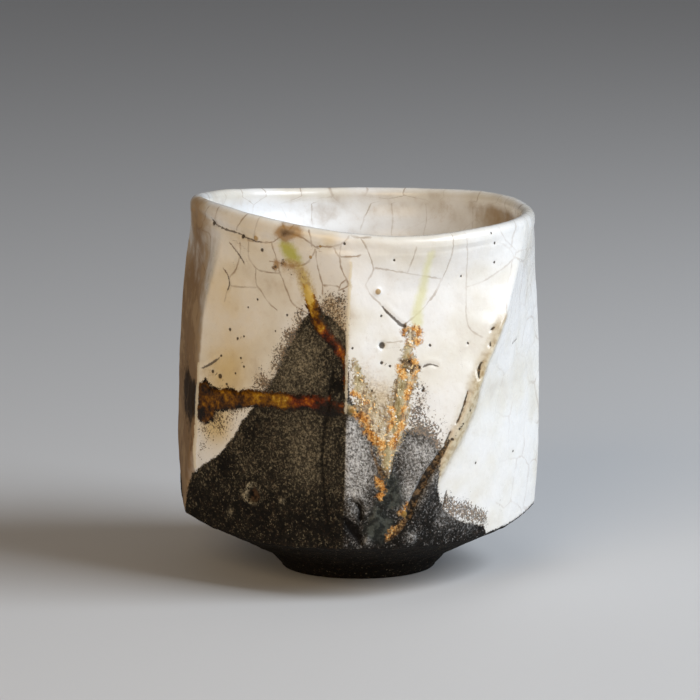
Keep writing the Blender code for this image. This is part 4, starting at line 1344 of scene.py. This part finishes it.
def copper_lustre(g, value, colour, dice, dust, tone, soft_rag, clump):
    """Adds the copper film, its olive, orange and brown parts and its bright flecks, which are partly painted glints;
    gives the colour and the film.
    """
    film_chance = g.fade(g.add(value["film"], g.times(soft_rag, 1.3)), -1.6, 1.3)
    film = g.fade(g.add(film_chance, g.times(dice, -1.0)), -0.05, 0.12)
    fluid = g.fade(g.noise(1.1, 3.0, place=g.vector("MULTIPLY", g.vector("ADD", g.mm, (31.0, 2.0, 8.0)), (1.0, 1.0, 0.5))),
                   0.32, 0.68)
    film_colour = g.ramp(
        g.add(g.times(fluid, 0.65), g.times(dust, 0.20), g.times(tone, 0.15)),
        (0.10, (0.16, 0.095, 0.045)), (0.35, (0.36, 0.25, 0.13)), (0.60, (0.52, 0.41, 0.25)), (0.85, (0.70, 0.60, 0.44)),
    )
    colour = g.mix(g.times(film, 0.90), colour, film_colour)
    olive = g.fade(g.add(value["olive"], g.times(soft_rag, 1.6)), -0.7, 0.7)
    olive_colour = g.mix(fluid, rgb(0.27, 0.20, 0.07), rgb(0.52, 0.45, 0.27))
    colour = g.mix(g.times(olive, 0.88), colour, olive_colour)
    umber = g.fade(g.add(value["umber"], g.times(soft_rag, 0.9)), -0.35, 0.35)
    colour = g.mix(g.times(umber, 0.88), colour, g.mix(g.times(dust, tone), rgb(0.045, 0.019, 0.007), rgb(0.42, 0.26, 0.11)))
    patches = g.fade(g.noise(0.42, 2.0, place=g.vector("ADD", g.mm, (5.0, 44.0, 61.0))), 0.36, 0.60, -0.35, 0.55)
    orange = g.add(value["orange"], 0.22, g.times(soft_rag, 1.5), g.times(g.add(dust, -0.5), 0.6), patches)
    orange = g.fade(orange, -0.35, 0.75)
    orange_colour = g.ramp(
        g.add(g.times(fluid, 0.5), g.times(tone, 0.5)),
        (0.12, (0.20, 0.070, 0.014)), (0.40, (0.56, 0.22, 0.035)), (0.66, (0.82, 0.42, 0.10)), (0.90, (0.90, 0.66, 0.34)),
    )
    colour = g.mix(g.times(orange, 0.95), colour, orange_colour)
    lustre = g.maths("MAXIMUM", film, g.maths("MAXIMUM", orange, olive))
    # Bright copper flecks, partly painted glints
    spark, spark_tone, _ = g.crumbs(0.40, g.vector("ADD", g.stirred(), (71.0, 9.0, 33.0)))
    bright = g.fade(value["film"], -0.8, 1.0, 0.01, 0.09)
    flecks_and_glints = g.times(g.maths("LESS_THAN", spark, bright), lustre)
    fleck_and_glint_colour = g.ramp(spark_tone, (0.15, (0.95, 0.55, 0.20)), (0.50, (0.95, 0.78, 0.42)), (0.85, (0.93, 0.91, 0.85)))
    return g.mix(g.times(flecks_and_glints, 0.9), colour, fleck_and_glint_colour), lustre


def craze_lines(g, show, clump):
    """How dark the crazing is: the borders of the cells, and the lines drawn on the front and inside."""
    wander = g.times(g.add(g.noise(0.30, 3.0), -0.5), 1.6)
    small_wander = g.times(g.add(g.noise(0.5, 2.0), -0.5), 0.45)
    faint = g.fade(g.noise(0.06, 1.0, place=g.vector("ADD", g.mm, (9.0, 70.0, 3.0))), 0.36, 0.60, 0.20, 0.80)
    width = g.fade(clump, 0.35, 0.65, 0.24, 0.46)
    layers = []
    for away in g.parts("craze_cells"):
        line = g.fade(g.maths("ABSOLUTE", g.add(away, wander)), 0.0, width, 1.0, 0.0)
        layers.append(g.times(line, show, faint))
    for away, reach in zip(g.parts("crack_offset"), g.parts("crack_reach")):
        line = g.fade(g.maths("ABSOLUTE", g.add(away, small_wander)), 0.0, width, 1.0, 0.0)
        layers.append(g.times(line, reach))
    most = layers[0]
    for layer in layers[1:]:
        most = g.maths("MAXIMUM", most, layer)
    return g.times(most, g.fade(g.noise(0.28, 2.0), 0.32, 0.62, 0.35, 1.0))


# ---- floor and light

def make_floor():
    mesh = bpy.data.meshes.new("floor")
    reach = 5.0
    mesh.from_pydata([(-reach, -reach, 0), (reach, -reach, 0), (reach, reach, 0), (-reach, reach, 0)], [], [(0, 1, 2, 3)])
    floor = bpy.data.objects.new("floor", mesh)
    material = bpy.data.materials.new("pale_floor")
    material.use_nodes = True
    shader = material.node_tree.nodes["Principled BSDF"]
    shader.inputs["Base Color"].default_value = rgb(0.62, 0.62, 0.63)
    shader.inputs["Roughness"].default_value = 0.7
    mesh.materials.append(material)
    bpy.context.scene.collection.objects.link(floor)


def add_light(name, degrees, elevation, distance, size, watts, colour):
    """A soft square light aimed at the cup's middle."""
    data = bpy.data.lights.new(name, "AREA")
    data.shape = "SQUARE"
    data.size = size
    data.energy = watts
    data.color = colour
    light = bpy.data.objects.new(name, data)
    turn, lift = math.radians(degrees), math.radians(elevation)
    toward = Vector((math.sin(turn) * math.cos(lift), -math.cos(turn) * math.cos(lift), math.sin(lift)))
    light.location = Vector(AIM) + toward * distance
    light.rotation_euler = toward.to_track_quat("Z", "Y").to_euler()
    bpy.context.scene.collection.objects.link(light)


def make_light():
    world = bpy.data.worlds.new("studio")
    world.use_nodes = True
    background = world.node_tree.nodes["Background"]
    background.inputs["Color"].default_value = rgb(0.98, 0.98, 1.0)
    background.inputs["Strength"].default_value = 0.12
    bpy.context.scene.world = world
    add_light("key", 71.0, 36.0, 1.1, 0.75, 14.6, (0.86, 0.93, 1.0))
    add_light("fill", -24.0, 22.0, 1.3, 0.80, 7.3, (1.0, 0.75, 0.46))


make_camera()
cup = make_cup()
cup.data.materials.append(raku_glaze())
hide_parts("cup")
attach(cup, "root")
make_floor()
make_light()
bpy.context.scene.view_settings.view_transform = "Standard"
